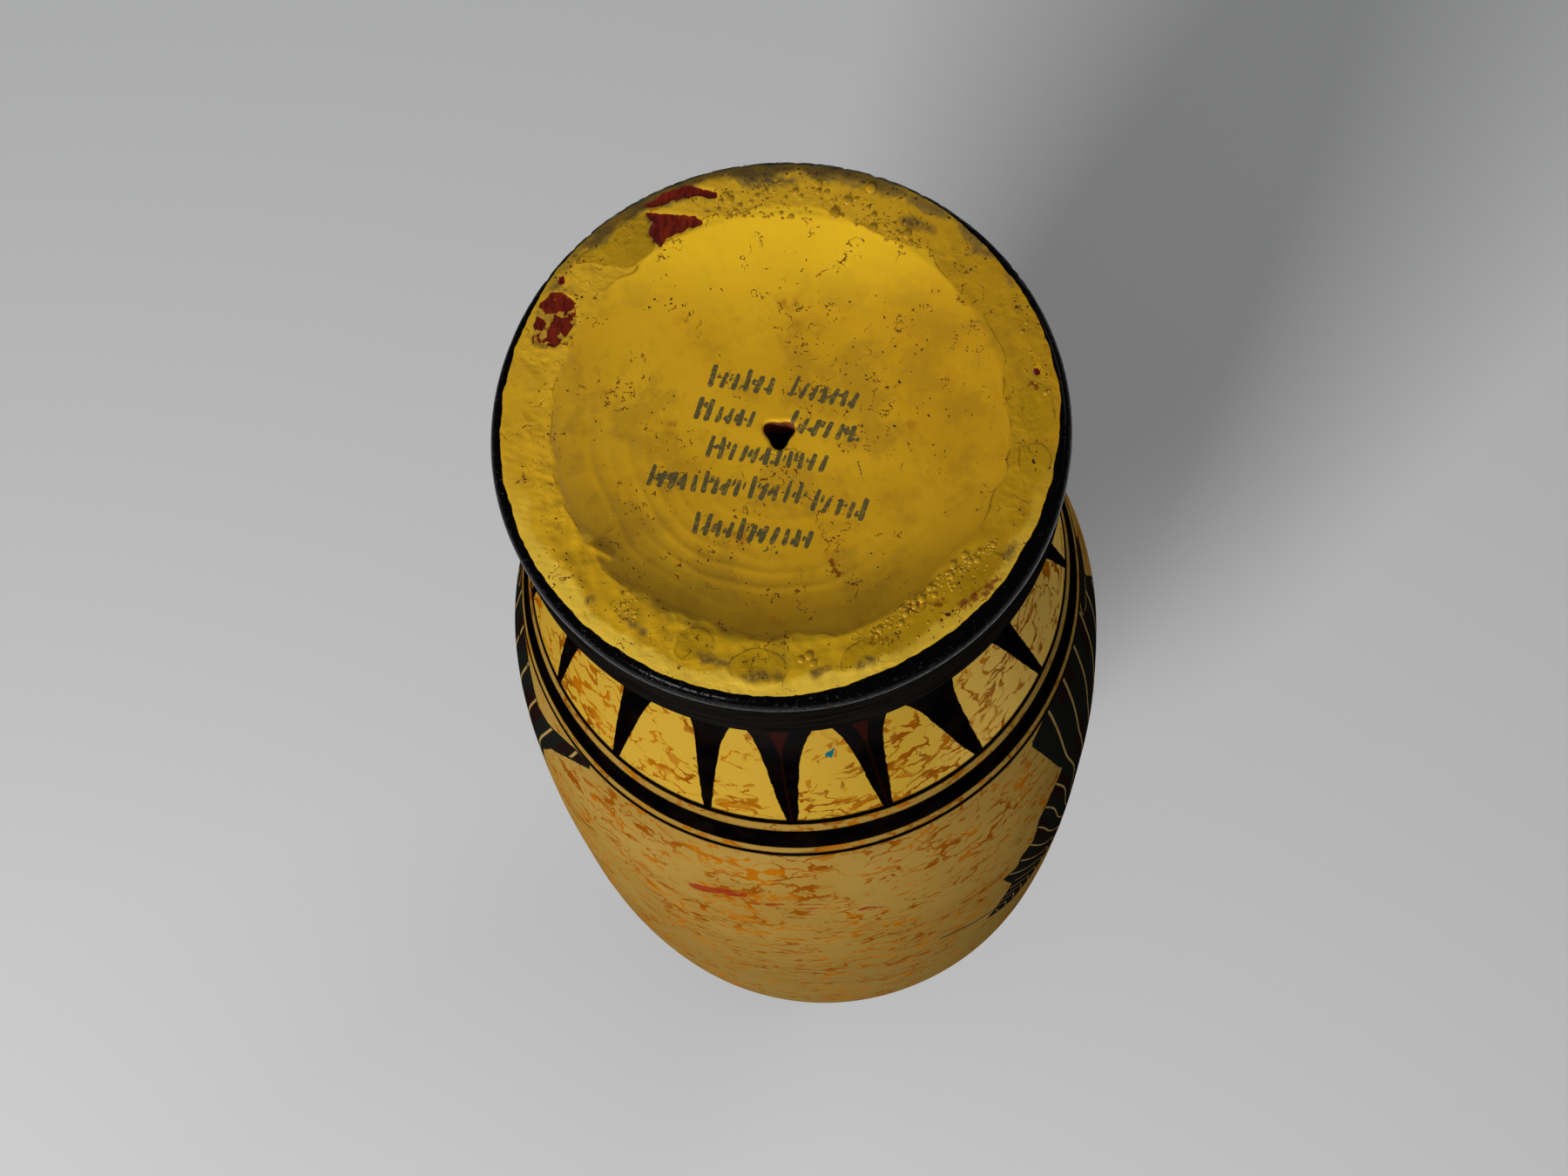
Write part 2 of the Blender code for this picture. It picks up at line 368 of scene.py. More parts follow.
def bubble_tree():
    """Sets a flattened dome on every point, at the point's own size, and makes them all one mesh."""
    inputs = {"Points": "Geometry", "Flatness": 0.6, "Unevenness": 0.2, "Seed": 4, "Finish": "Material"}
    tree, given, made = new_group("GeometryNodeTree", "lacquer_bubbles", inputs, {"Bubbles": "Geometry"})
    dome = node(tree, "GeometryNodeMeshIcoSphere", {"Radius": 1.0, "Subdivisions": 2})[0]
    named = {"Name": "bubble_radius"}
    size = node(tree, "GeometryNodeInputNamedAttribute", named, data_type="FLOAT")["Attribute"]
    limits = {2: 0.0, 3: 1.0, "Seed": given["Seed"]}
    draw = node(tree, "FunctionNodeRandomValue", limits, data_type="FLOAT")[1]
    shape = joined(tree, draw * given["Unevenness"] + 1.0, 1.0, given["Flatness"])
    placed = {
        "Points": given["Points"],
        "Instance": dome,
        "Rotation": joined(tree, 0.0, 0.0, draw * math.tau),
        "Scale": scaled(shape, size),
    }
    feed(made["Bubbles"], finished(node(tree, "GeometryNodeInstanceOnPoints", placed)[0], given["Finish"]))
    return tree


def grown(name, start, tree, values):
    """Runs a geometry tree on an object and keeps the result as a plain mesh piece at the origin."""
    bpy.context.scene.collection.objects.link(start)
    modifier = start.modifiers.new(tree.name, "NODES")
    modifier.node_group = tree
    sockets = tree.interface.items_tree
    identifiers = {socket.name: socket.identifier for socket in sockets if socket.in_out == "INPUT"}
    for label, value in values.items():
        modifier[identifiers[label]] = value
    graph = bpy.context.evaluated_depsgraph_get()
    mesh = bpy.data.meshes.new_from_object(start.evaluated_get(graph), depsgraph=graph)
    bpy.data.objects.remove(start)
    mesh.name = name
    mesh.shade_smooth()
    piece = bpy.data.objects.new(name, mesh)
    bpy.context.scene.collection.objects.link(piece)
    return piece


def path_object(name, points, cyclic=False):
    """A plain curve object through the points."""
    curve = bpy.data.curves.new(name, "CURVE")
    curve.dimensions = "3D"
    spline = curve.splines.new("POLY")
    spline.points.add(len(points) - 1)
    for place, point in zip(spline.points, points):
        place.co = (*point, 1.0)
    spline.use_cyclic_u = cyclic
    return bpy.data.objects.new(name, curve)


def turned_piece(name, loop, segments, material):
    """A closed profile of (radius, height) in millimetres, turned into a solid piece."""
    points = [(radius * MM - 1.0, -height * MM, 0.0) for radius, height in loop]
    start = path_object(name + "_profile", points, cyclic=True)
    piece = grown(name, start, turning_tree(), {"Segments": segments, "Finish": material})
    piece.data.flip_normals()
    return piece


def places(mesh):
    """The place of every vertex, in millimetres."""
    co = np.empty(len(mesh.vertices) * 3)
    mesh.vertices.foreach_get("co", co)
    return co.reshape(-1, 3) / MM


def set_places(mesh, co):
    mesh.vertices.foreach_set("co", co.ravel() * MM)
    mesh.update()


def keep_values(mesh, values):
    """Numbers for every vertex, which the material reads by their names."""
    for name, numbers in values.items():
        layer = mesh.attributes.new(name, "FLOAT", "POINT")
        layer.data.foreach_set("value", np.asarray(numbers, np.float32))


def smooth_share(low, high, value):
    share = np.clip((value - low) / (high - low), 0.0, 1.0)
    return share * share * (3.0 - 2.0 * share)


def bell(value, width):
    """One at zero, falling away on both sides."""
    return np.exp(-((value / width) ** 2))


def hills(points):
    """Smooth noise at every point, one hill about every unit."""
    return np.array([noise.noise(Vector(point)) for point in points])


def rolling(points, size, seed):
    """Smooth noise from -1 to 1 on points in the plane, one hill about every size."""
    return hills(np.column_stack((points / size, np.full(len(points), seed)))) * 1.6


def outline_distance(points, outline):
    """Distance from each point to a closed outline, negative inside."""
    outline = np.array(outline, float)
    nearest = np.full(len(points), 1e9)
    within = np.zeros(len(points), bool)
    for a, b in zip(outline, np.roll(outline, -1, axis=0)):
        edge = b - a
        nearest = np.minimum(nearest, stroke_distance(points, a, b, 0.0, 0.0))
        if a[1] != b[1]:
            crosses = (a[1] > points[:, 1]) != (b[1] > points[:, 1])
            at = a[0] + (points[:, 1] - a[1]) * edge[0] / edge[1]
            within ^= crosses & (points[:, 0] < at)
    return np.where(within, -nearest, nearest)


def stroke_distance(points, start, end, start_half, end_half):
    """Distance to a round-ended stroke that may taper, negative inside."""
    start = np.array(start, float)
    edge = np.array(end, float) - start
    offset = points - start
    share = np.clip(offset @ edge / max(edge @ edge, 1e-9), 0.0, 1.0)
    return np.hypot(*(offset - share[:, None] * edge).T) - (start_half + (end_half - start_half) * share)


def nearest_stroke(points, strokes):
    return np.minimum.reduce([stroke_distance(points, *stroke) for stroke in strokes])


def nearest_outline(points, outlines):
    return np.minimum.reduce([outline_distance(points, outline) for outline in outlines])


# Marks on the underside, in the plane of the foot: x to the photograph's right, y towards its lower edge
FAR_MM = 9.0
EDGE_WEDGE_CHIP = (
    (-19.7, -31.8), (-18.2, -33.1), (-16.2, -34.3), (-13.2, -35.3), (-9.1, -34.0), (-9.2, -33.1),
    (-11.9, -33.5), (-15.5, -32.9), (-17.7, -32.0),
)
TRIANGLE_CHIP = (
    (-19.3, -31.0), (-16.2, -30.9), (-13.0, -30.7), (-11.0, -29.9), (-11.1, -29.2), (-13.0, -28.6),
    (-14.8, -27.8), (-16.0, -27.2), (-16.9, -25.9), (-17.8, -26.7), (-18.5, -28.3), (-18.0, -29.7),
)
ROUND_CHIP = (
    (-31.7, -19.5), (-29.8, -19.0), (-28.2, -17.7), (-28.1, -14.6), (-29.2, -12.8), (-30.4, -11.3),
    (-32.5, -10.9), (-33.9, -11.6), (-33.9, -14.4), (-33.5, -17.0),
)
NICK = ((-31.1, -21.4), (-30.1, -21.6), (-29.7, -20.8), (-30.7, -20.3))
RED_SPOTS = ((34.5, -7.3, 0.49), (21.5, 27.5, 0.294), (12.6, 29.9, 0.294), (34.0, -9.4, 0.28))
SMEARS = (
    ((27.2, 23.8), (28.8, 21.9), 0.55), ((17.6, 25.9), (19.0, 25.2), 0.55),
    ((20.3, 25.4), (22.2, 24.9), 0.55), ((24.2, 25.6), (26.0, 24.4), 0.6),
    ((13.6, 29.9), (15.0, 30.3), 0.3), ((7.0, 18.9), (7.9, 20.6), 0.5), ((33.6, -6.2), (34.4, -4.8), 0.35),
)
SMUDGES = (
    ((5.0, 34.9), (6.6, 34.2), 0.6), ((-3.4, 35.2), (0.4, 35.0), 0.7), ((11.2, 33.5), (12.4, 33.0), 0.7),
    ((30.4, 18.6), (31.2, 17.0), 0.7), ((-24.8, 24.9), (-24.4, 24.1), 0.45),
    ((-19.6, 27.6), (-17.4, 29.2), 0.5), ((-9.6, 32.6), (-6.4, 33.4), 0.7),
    ((17.0, -29.6), (20.6, -28.2), 0.9), ((-4.0, -35.4), (1.6, -35.6), 0.9),
    ((-31.6, -19.8), (-29.0, -19.4), 0.5),
)
PUDDLES = (
    (
        (-28.4, -23.6), (-23.7, -23.2), (-21.7, -22.9), (-19.5, -23.8), (-17.4, -25.6), (-18.0, -28.6),
        (-19.6, -31.2), (-23.5, -28.6), (-26.4, -26.0),
    ),
    ((-12.9, 29.6), (-11.6, 28.6), (-9.6, 28.7), (-8.0, 30.3), (-8.3, 31.7), (-10.9, 32.9), (-13.2, 32.1)),
    ((-5.8, 32.6), (-3.0, 31.4), (0.6, 32.2), (1.6, 34.6), (-0.6, 36.2), (-4.6, 36.2), (-6.6, 34.6)),
    (
        (27.8, 17.4), (24.9, 19.2), (21.6, 22.2), (17.0, 25.8), (12.4, 29.4), (9.0, 31.9),
        (8.6, 34.4), (16.4, 32.6), (22.0, 29.1), (27.1, 25.0), (30.6, 19.6),
    ),
    ((32.0, -4.4), (34.6, -5.4), (36.3, -4.0), (36.6, 0.8), (34.2, 2.0), (31.8, 0.4)),
    ((31.9, 3.4), (35.0, 2.9), (36.2, 5.4), (34.6, 8.6), (32.0, 7.2)),
)
# Places and sizes of the crusts, and of the rings: radius, height, middle angle and spread in degrees
CRUSTS = ((-20.4, 26.2, 2.4), (-34.2, 1.5, 1.8), (-1.6, 35.4, 1.6), (3.6, 34.2, 1.3), (33.2, -13.0, 1.8))
LUMP = ((-24.6, 17.4), (-22.2, 18.7), 0.5, 0.35)
TURNING_RINGS = (
    (22.9, 0.10, 95.0, 50.0), (20.6, 0.09, 120.0, 60.0), (24.9, 0.05, 45.0, 30.0), (13.0, 0.04, 80.0, 90.0),
    (25.8, 0.08, 155.0, 45.0), (23.4, 0.05, 190.0, 40.0), (18.4, 0.06, 130.0, 50.0),
    (16.2, 0.05, 145.0, 45.0), (14.6, 0.03, 260.0, 60.0),
)
BUBBLE_CHAIN = ((28.2, 16.9), (24.9, 19.2), (21.4, 22.2), (17.0, 25.8), (12.3, 29.3))
BUBBLE_BAND = ((-9.5, -31.6), (-3.4, -31.6), (3.9, -31.6), (9.8, -30.6), (14.0, -27.4), (17.4, -24.8))
# Where the words of the stamp stood: the ends of each one's middle line
STAMP_WORDS = (
    ((-9.4, -7.6), (-1.4, -6.5)), ((1.8, -6.1), (10.0, -4.3)), ((-11.2, -2.9), (-4.0, -1.7)),
    ((1.6, -1.0), (9.7, 0.5)), ((-9.5, 2.6), (5.9, 4.7)), ((-17.3, 6.9), (-5.7, 8.2)),
    ((-3.7, 8.5), (2.6, 9.3)), ((4.8, 10.3), (11.2, 11.8)), ((-11.1, 13.7), (4.0, 15.6)),
)
STAMP_TALL_MM = 2.7
STAMP_LOW_MM = 1.9
STAMP_PITCH_MM = 1.5
STAMP_STROKE_MM = 0.34
STAMP_SPECKS = 14
STAMP_TAIL = (Vector((10.5, 4.4)), Vector((11.1, 6.9)), 0.12, 0.08)


def froth_strokes():
    """The strips along which the bubbles froth, just outside their paths."""
    for path, half in ((BUBBLE_CHAIN, 0.9), (BUBBLE_BAND, 1.5)):
        for start, end in zip(path, path[1:]):
            out = 1.0 + half / math.hypot(*start)
            yield np.array(start) * out, np.array(end) * out, half, half


def underside_marks(points):
    """How far each point of the underside is from each kind of mark."""
    radius = np.hypot(*points.T)
    angle = np.arctan2(points[:, 1], points[:, 0])
    middle = rolling(points, 2.6, 7.7)
    chips = nearest_outline(points, (EDGE_WEDGE_CHIP, TRIANGLE_CHIP, ROUND_CHIP, NICK))
    spots = nearest_stroke(points, [((x, y), (x, y), size, size) for x, y, size in RED_SPOTS])
    pools = nearest_outline(points, [flowing([*outline, outline[0]], 0.8) for outline in PUDDLES])
    band = DISH_RADIUS_MM - radius + middle * 0.5 + rolling(points, 7.0, 1.3) * 0.8 - 0.8 * np.sin(angle)
    return {
        "chip": np.minimum(chips, spots) + rolling(points, 0.9, 3.1) * 0.22,
        "puddle": pools + middle * 0.25,
        "band": band,
        "froth": nearest_stroke(points, froth_strokes()),
        "smear": nearest_stroke(points, [(start, end, half, half * 0.6) for start, end, half in SMEARS]),
        "smudge": nearest_stroke(points, [(start, end, half, half * 0.6) for start, end, half in SMUDGES]),
        "ink": nearest_stroke(points, stamp_strokes()),
    }


def lacquer_thickness(points, marks):
    """How far the lacquer stands off the smooth underside, in millimetres."""
    radius = np.hypot(*points.T)
    angle = np.arctan2(points[:, 1], points[:, 0])
    fine = rolling(points, 0.9, 3.1)
    middle = rolling(points, 2.6, 7.7)
    broad = rolling(points, 7.0, 1.3)
    wrinkle = 1.0 - np.abs(rolling(points, 1.7, 12.4)) * 2.0
    thick = 0.10 * smooth_share(0.5, -0.5, marks["band"]) + 0.06 * bell(marks["band"], 0.35)
    thick += 0.09 * smooth_share(0.30, -0.30, marks["puddle"]) + 0.04 * bell(marks["puddle"], 0.22)
    thick *= 1.0 - 0.6 * smooth_share(22.0, 32.0, points @ np.array((0.87, -0.5)))
    on_ring = smooth_share(1.0, -1.0, marks["band"])
    thick += 0.05 * broad + 0.03 * middle * (0.4 + on_ring)
    thick += (0.018 * fine + 0.035 * wrinkle * smooth_share(-0.2, 0.6, broad)) * on_ring
    lower_left = smooth_share(2.0, -22.0, points @ np.array((0.8, -0.45)))
    thick += on_ring * lower_left * smooth_share(36.4, 34.4, radius) * (0.09 * middle + 0.05 * wrinkle)
    ripple = np.sin(angle * radius * 5.2 + broad * 2.5) * smooth_share(-0.4, 0.6, middle)
    thick += 0.045 * ripple * smooth_share(0.55, 0.15, np.abs(np.abs(angle) - 2.75) - 0.15) * on_ring
    for x, y, size in CRUSTS:
        thick += bell(np.hypot(points[:, 0] - x, points[:, 1] - y), size) * (0.12 * np.abs(fine) + 0.06)
    thick += 0.45 * smooth_share(0.25, -0.45, stroke_distance(points, *LUMP))
    for ring, high, middle_turn, spread in TURNING_RINGS:
        fade = bell((np.degrees(angle) - middle_turn + 180) % 360 - 180, spread)
        thick += high * fade * bell(radius - ring - broad * 0.5, 0.42)
    return thick - 0.26 * smooth_share(0.12, -0.12, marks["chip"]) - 0.05


def stamp_strokes():
    """Rows of short, thick and thin leaning strokes and dots that never join, which are no letters."""
    draw = random.Random(11)
    strokes = []
    for start, end in STAMP_WORDS:
        start = Vector(start)
        along = Vector(end) - start
        slots = max(2, round(along.length / STAMP_PITCH_MM))
        along = along / slots
        ahead = along.normalized()
        down = Vector((-ahead.y, ahead.x))
        for slot in range(slots + 1):
            base = start + along * slot + down * (STAMP_LOW_MM / 2)
            tall = STAMP_TALL_MM if slot == 0 or draw.random() < 0.2 else STAMP_LOW_MM
            lean = ahead * draw.uniform(0.05, 0.3)
            half = STAMP_STROKE_MM * draw.uniform(0.9, 1.2)
            strokes.append((base - lean, base - down * tall + lean, half, half * draw.uniform(0.7, 1.0)))
            if draw.random() < 0.75:
                blob = base + ahead * draw.uniform(0.75, 0.82) - down * tall * draw.uniform(0.05, 0.75)
                half = STAMP_STROKE_MM * draw.uniform(0.5, 0.9)
                strokes.append((blob, blob - down * draw.uniform(0.1, 0.9) + lean, half, half * 0.8))
    strokes.append(STAMP_TAIL)
    for _ in range(STAMP_SPECKS):
        spot = Vector((draw.gauss(-1.5, 0.9), draw.gauss(17.2, 0.7)))
        strokes.append((spot, spot + Vector((0.15, 0.1)), 0.12, 0.08))
    return strokes


def vent_radius(angle):
    """The vent is a worn, rounded triangle with one corner towards +Y."""
    return VENT_MIDDLE_MM + VENT_CORNER_MM * np.cos(3.0 * (angle - math.pi / 2))


def make_foot(material):
    """The foot: the lacquered underside with all its relief, the black side, and the well inside."""
    piece = turned_piece("foot", foot_loop(), FOOT_SEGMENTS, material)
    co = places(piece.data)
    radius = np.hypot(co[:, 0], co[:, 1])
    angle = np.arctan2(co[:, 1], co[:, 0])
    underside_top = RING_LIFT_MM + DISH_DEPTH_MM
    under = (co[:, 2] < underside_top + 1.0) & (radius <= FLAT_RADIUS_MM + 0.01)
    shaft = (radius < VENT_RADIUS_MM + 3.0) & (co[:, 2] < FLOOR_TOP_MM + 0.5)
    bend = np.where(shaft, smooth_share(VENT_RADIUS_MM + 3.0, VENT_RADIUS_MM, radius), 0.0)
    co[:, :2] *= (1.0 + bend * (vent_radius(angle) - VENT_RADIUS_MM) / radius)[:, None]
    co[:, :2] += bend[:, None] * VENT_SHIFT_MM
    marks = underside_marks(co[under, :2])
    thick = lacquer_thickness(co[under, :2], marks)
    edge = smooth_share(FOOT_RADIUS_MM, FOOT_RADIUS_MM - 0.8, radius[under])
    near_vent = smooth_share(VENT_RADIUS_MM, VENT_RADIUS_MM + 1.4, radius[under])
    co[under, 2] -= thick * edge * near_vent
    side = (co[:, 2] > FOOT_ARRIS_MM * 0.5) & (radius > 30.0)
    turns = np.column_stack((np.cos(angle[side]) * 3, np.sin(angle[side]) * 3, co[side, 2] * 0.25))
    co[side, :2] *= (1.0 + FOOT_UNEVEN * hills(turns))[:, None]
    rim = (radius > 36.4) & (co[:, 2] < 5.0) & (co[:, 1] < -8.0)
    depth = RIM_WEAR_MM * np.clip(hills(co[rim] / 1.1), 0.0, 0.5)
    depth *= smooth_share(-8.0, -26.0, co[rim, 1]) * smooth_share(5.0, 2.5, co[rim, 2])
    co[rim, :2] *= (1.0 - depth / radius[rim])[:, None]
    set_places(piece.data, co)
    bare = (radius < STEM_BORE_MM + 1.0) & (co[:, 2] > underside_top + 0.35)
    values = {"bare_clay": bare}
    for name, distances in marks.items():
        values[name] = np.full(len(co), FAR_MM)
        values[name][under] = distances
    keep_values(piece.data, values)
    return piece


# Sets of bubbles: path, how many are tried, spread, smallest and largest radius, and shift outward
BUBBLE_SETS = (
    (BUBBLE_CHAIN, 150, 0.28, 0.16, 0.58, 0.3),
    (BUBBLE_CHAIN, 36, 0.8, 0.13, 0.26, 1.5),
    (BUBBLE_BAND, 34, 1.3, 0.34, 0.85, 1.2),
    (BUBBLE_BAND, 90, 1.3, 0.14, 0.28, 1.2),
    (((-8.0, -30.6), (-2.0, -30.3), (4.0, -29.9)), 40, 0.25, 0.2, 0.5, 0.2),
    (((3.2, 32.4), (5.0, 32.9)), 8, 0.5, 0.4, 0.9, 0.0),
    (((-21.0, 25.0), (-19.0, 27.6)), 40, 0.8, 0.15, 0.35, 0.0),
    (((30.5, -17.0), (34.5, -4.0)), 22, 1.0, 0.15, 0.35, 1.0),
)
BUBBLE_GAP = 0.75
BUBBLE_RISE_MM = 0.02


def bubble_places():
    """Seeded places and sizes of the bubbles: a packed chain, a band of froth and a few strays."""
    draw = random.Random(5)
    found = []
    for path, count, spread, low, high, drift in BUBBLE_SETS:
        path = [Vector(point) for point in spaced(path, 0.5)]
        for _ in range(count):
            place = draw.random() * (len(path) - 1)
            index = int(place)
            base = path[index].lerp(path[min(index + 1, len(path) - 1)], place - index)
            size = low + (high - low) * draw.random() ** 2.2
            point = base + base.normalized() * (drift + draw.gauss(0, spread))
            point += Vector((draw.gauss(0, 0.3), draw.gauss(0, 0.3)))
            if all((point - other).length > BUBBLE_GAP * (size + radius) for other, radius in found):
                found.append((point, size))
    return [(point, size) for point, size in found if point.length < FOOT_RADIUS_MM - 1.2]


def make_bubbles(material):
    """The lacquer's bubbles, each a low dome sunk in the surface."""
    found = bubble_places()
    points = np.array([tuple(point) for point, _ in found])
    thick = lacquer_thickness(points, underside_marks(points))
    heights = dish_height(np.hypot(*points.T)) - thick + BUBBLE_RISE_MM
    mesh = bpy.data.meshes.new("bubble_points")
    mesh.from_pydata((np.column_stack((points, heights)) * MM).tolist(), [], [])
    keep_values(mesh, {"bubble_radius": [size * MM for _, size in found]})
    start = bpy.data.objects.new("bubble_points", mesh)
    values = {"Flatness": 0.5, "Unevenness": 0.25, "Seed": 4, "Finish": material}
    return grown("lacquer_bubbles", start, bubble_tree(), values)


# The rays round the foot of the body: left edge, right edge and tip of each, in degrees round the vase
RAYS_SEEN = (
    (-1.5, 10.5, 1.7), (24.5, 35.5, 26.0), (46.0, 61.0, 47.9), (65.5, 79.0, 70.0),
    (85.0, 101.0, 90.3), (105.0, 116.0, 108.3), (124.0, 136.0, 131.0), (148.0, 159.0, 151.4),
)
RAY_COUNT = 17
RAY_BASE_MM = 36.0
RAY_TIP_MM = 61.2
RAY_HALF_SHARE = 0.3


def all_rays():
    """The rays that the photograph shows, and the rest in the same hand round the far side."""
    draw = random.Random(3)
    rays = list(RAYS_SEEN)
    first = rays[-1][2]
    unseen = RAY_COUNT - len(rays)
    gap = (360.0 + rays[0][2] - first) / (unseen + 1)
    for step in range(1, unseen + 1):
        tip = first + gap * step + draw.uniform(-1.0, 1.0)
        centre = tip + draw.uniform(0.5, 3.0)
        half = draw.uniform(5.6, 7.4)
        rays.append((centre - half, centre + half, tip))
    return rays


def carried_round(numbers, whole):
    """The same numbers with the last two before them and the first two after them, one round away."""
    return [numbers[-2] - whole, numbers[-1] - whole, *numbers, numbers[0] + whole, numbers[1] + whole]


def ray_turn(degrees, height_mm):
    """Which ray is near, as a number that is whole on each ray's middle line, leaning as the brush did."""
    rays = all_rays()
    knots = [index + side for index in range(RAY_COUNT) for side in (-RAY_HALF_SHARE, RAY_HALF_SHARE)]
    knots = carried_round(knots, RAY_COUNT)
    base = [edge for left, right, _ in rays for edge in (left, right)]
    tips = [tip + side * (right - left) / 2 for left, right, tip in rays for side in (-1, 1)]
    share = np.clip((height_mm - RAY_BASE_MM) / (RAY_TIP_MM - RAY_BASE_MM), 0.0, 1.0)
    at_base = np.interp(degrees, carried_round(base, 360), knots)
    return at_base * (1 - share) + np.interp(degrees, carried_round(tips, 360), knots) * share


# The frieze, in millimetres: x runs round the vase from the middle of its front, y is the height
PICTURE_RADIUS_MM = 54.0
CLOAKED = (
    (84.0, 72.8), (105.0, 72.4), (113.7, 72.6), (119.2, 75.0), (117.4, 82.0), (113.9, 98.9),
    (112.4, 104.0), (116.6, 108.8), (120.3, 116.6), (121.6, 130.5), (125.0, 132.2), (125.6, 139.6),
    (129.9, 137.2), (126.6, 153.8), (130.4, 166.0), (132.6, 172.2), (125.0, 180.0), (114.0, 176.0),
    (104.0, 186.0), (90.0, 184.0), (84.0, 172.0), (81.0, 140.0), (76.0, 100.0),
)
STRIDING = (
    (-74.0, 75.0), (-88.6, 71.3), (-98.3, 73.6), (-103.4, 77.2), (-108.0, 80.6), (-112.4, 79.4),
    (-116.8, 76.0), (-121.4, 73.2), (-125.4, 72.4), (-126.0, 74.4), (-122.4, 77.6), (-118.4, 82.0),
    (-114.4, 87.4), (-111.0, 97.0), (-109.0, 112.0), (-106.0, 140.0), (-103.0, 168.0), (-98.0, 182.0),
    (-84.0, 184.0), (-78.0, 168.0), (-76.0, 130.0), (-70.0, 98.0),
)
STANDING = (
    (20.0, 76.0), (50.0, 76.0), (46.0, 110.0), (42.0, 140.0), (43.0, 170.0), (37.0, 180.0),
    (27.0, 180.0), (22.0, 168.0), (25.0, 138.0), (22.0, 105.0),
)
KILT = (
    (-44.0, 118.0), (-20.0, 118.0), (-24.0, 140.0), (-22.0, 168.0), (-27.0, 178.0), (-39.0, 178.0),
    (-42.0, 168.0),
)
# Arms, legs, heads and gear: start, end, half width at each
LIMBS = (
    ((96.0, 186.0), (97.0, 194.0), 4.0, 7.2), ((90.0, 198.0), (102.0, 200.0), 3.4, 3.6),
    ((86.0, 176.0), (72.0, 164.0), 4.4, 3.4), ((72.0, 164.0), (66.0, 180.0), 3.2, 2.4),
    ((-91.0, 186.0), (-90.0, 194.0), 4.0, 7.2), ((-97.0, 197.0), (-86.0, 201.0), 3.0, 3.6),
    ((-82.0, 176.0), (-68.0, 162.0), 4.4, 3.4), ((-68.0, 162.0), (-60.0, 170.0), 3.2, 2.4),
    ((-82.0, 76.5), (-72.0, 74.8), 3.0, 2.2), ((88.0, 75.5), (78.0, 74.8), 3.0, 2.2),
    ((32.0, 182.0), (31.0, 191.0), 3.6, 7.0), ((36.0, 195.0), (40.0, 190.0), 3.4, 3.0),
    ((26.0, 172.0), (14.0, 156.0), 4.2, 3.4), ((14.0, 156.0), (6.0, 166.0), 3.2, 2.4),
    ((40.0, 172.0), (50.0, 156.0), 4.2, 3.4), ((50.0, 156.0), (44.0, 144.0), 3.2, 2.4),
    ((28.0, 77.5), (19.0, 75.6), 3.0, 2.2), ((-33.0, 180.0), (-32.0, 190.0), 3.6, 7.0),
    ((-42.0, 203.0), (-30.0, 202.0), 2.0, 3.0), ((-30.0, 202.0), (-22.0, 194.0), 3.0, 1.6),
    ((-24.0, 172.0), (-12.0, 160.0), 4.2, 3.4), ((-12.0, 160.0), (-6.0, 174.0), 3.2, 2.4),
    ((-38.0, 120.0), (-44.0, 98.0), 6.4, 4.4), ((-44.0, 98.0), (-49.0, 78.0), 4.2, 2.8),
    ((-49.0, 77.0), (-41.0, 75.8), 2.6, 2.0), ((-26.0, 120.0), (-19.0, 98.0), 6.4, 4.4),
    ((-19.0, 98.0), (-22.0, 78.0), 4.2, 2.8), ((-22.0, 77.0), (-13.0, 75.8), 2.6, 2.0),
)
SHIELD = (-48.0, 152.0)
SHIELD_RADIUS_MM = 15.0
SPEARS = (((-1.0, 205.0), (-9.0, 100.0)), ((143.8, 156.3), (126.0, 170.0)), ((64.0, 204.0), (68.0, 84.0)))
FOLD_SPACING_MM = 4.2
FIGURE_CENTRES_MM = np.array((-90.0, -32.0, 33.0, 96.0))


def picture_place(co, middle_degrees):
    """Where each vertex lies on the unrolled body: round from a middle line, and up."""
    turn = np.degrees(np.arctan2(co[:, 1], co[:, 0]))
    round_from = (turn - middle_degrees + 180.0) % 360.0 - 180.0
    return np.column_stack((np.radians(round_from) * PICTURE_RADIUS_MM, co[:, 2]))


def frieze_values(place):
    """The figures' silhouette, the forms drawn inside it, the robes and the beat of their folds."""
    robes = nearest_outline(place, (CLOAKED, STRIDING, STANDING, KILT))
    shield = np.hypot(*(place - SHIELD).T) - SHIELD_RADIUS_MM
    limbs = np.minimum(nearest_stroke(place, LIMBS), shield)
    nearest = FIGURE_CENTRES_MM[np.argmin(np.abs(place[:, :1] - FIGURE_CENTRES_MM), axis=1)]
    fan = 1.0 + np.clip(130.0 - place[:, 1], -40.0, 60.0) / 90.0
    folds = (place[:, 0] - nearest) / (FOLD_SPACING_MM * fan) + 0.15 * np.sin(place[:, 1] / 9.0)
    figures = np.minimum(robes, limbs)
    return {"figures": figures, "limbs": limbs, "robes": robes, "folds": folds, "shield": shield}


# Crimson dabs on the bare back and one speck of turquoise, round from the middle of the back, and up
DABS = (
    ((19.2, 97.2), (13.2, 93.2), 1.7, 1.1), ((8.4, 97.4), (3.8, 96.2), 0.9, 0.5),
    ((0.2, 98.6), (-3.8, 97.6), 0.7, 0.4), ((-11.2, 102.0), (-14.6, 104.2), 0.9, 0.6),
    ((10.4, 93.0), (13.6, 95.4), 0.9, 0.5),
)
TURQUOISE = ((-8.6, 44.4), (-10.6, 42.6), 0.75, 0.45)


def dab_distance(place, dabs):
    """Distance to the nearest of some dabs of paint, with an uneven edge."""
    return nearest_stroke(place, dabs) + rolling(place, 1.6, 2.2) * 0.5


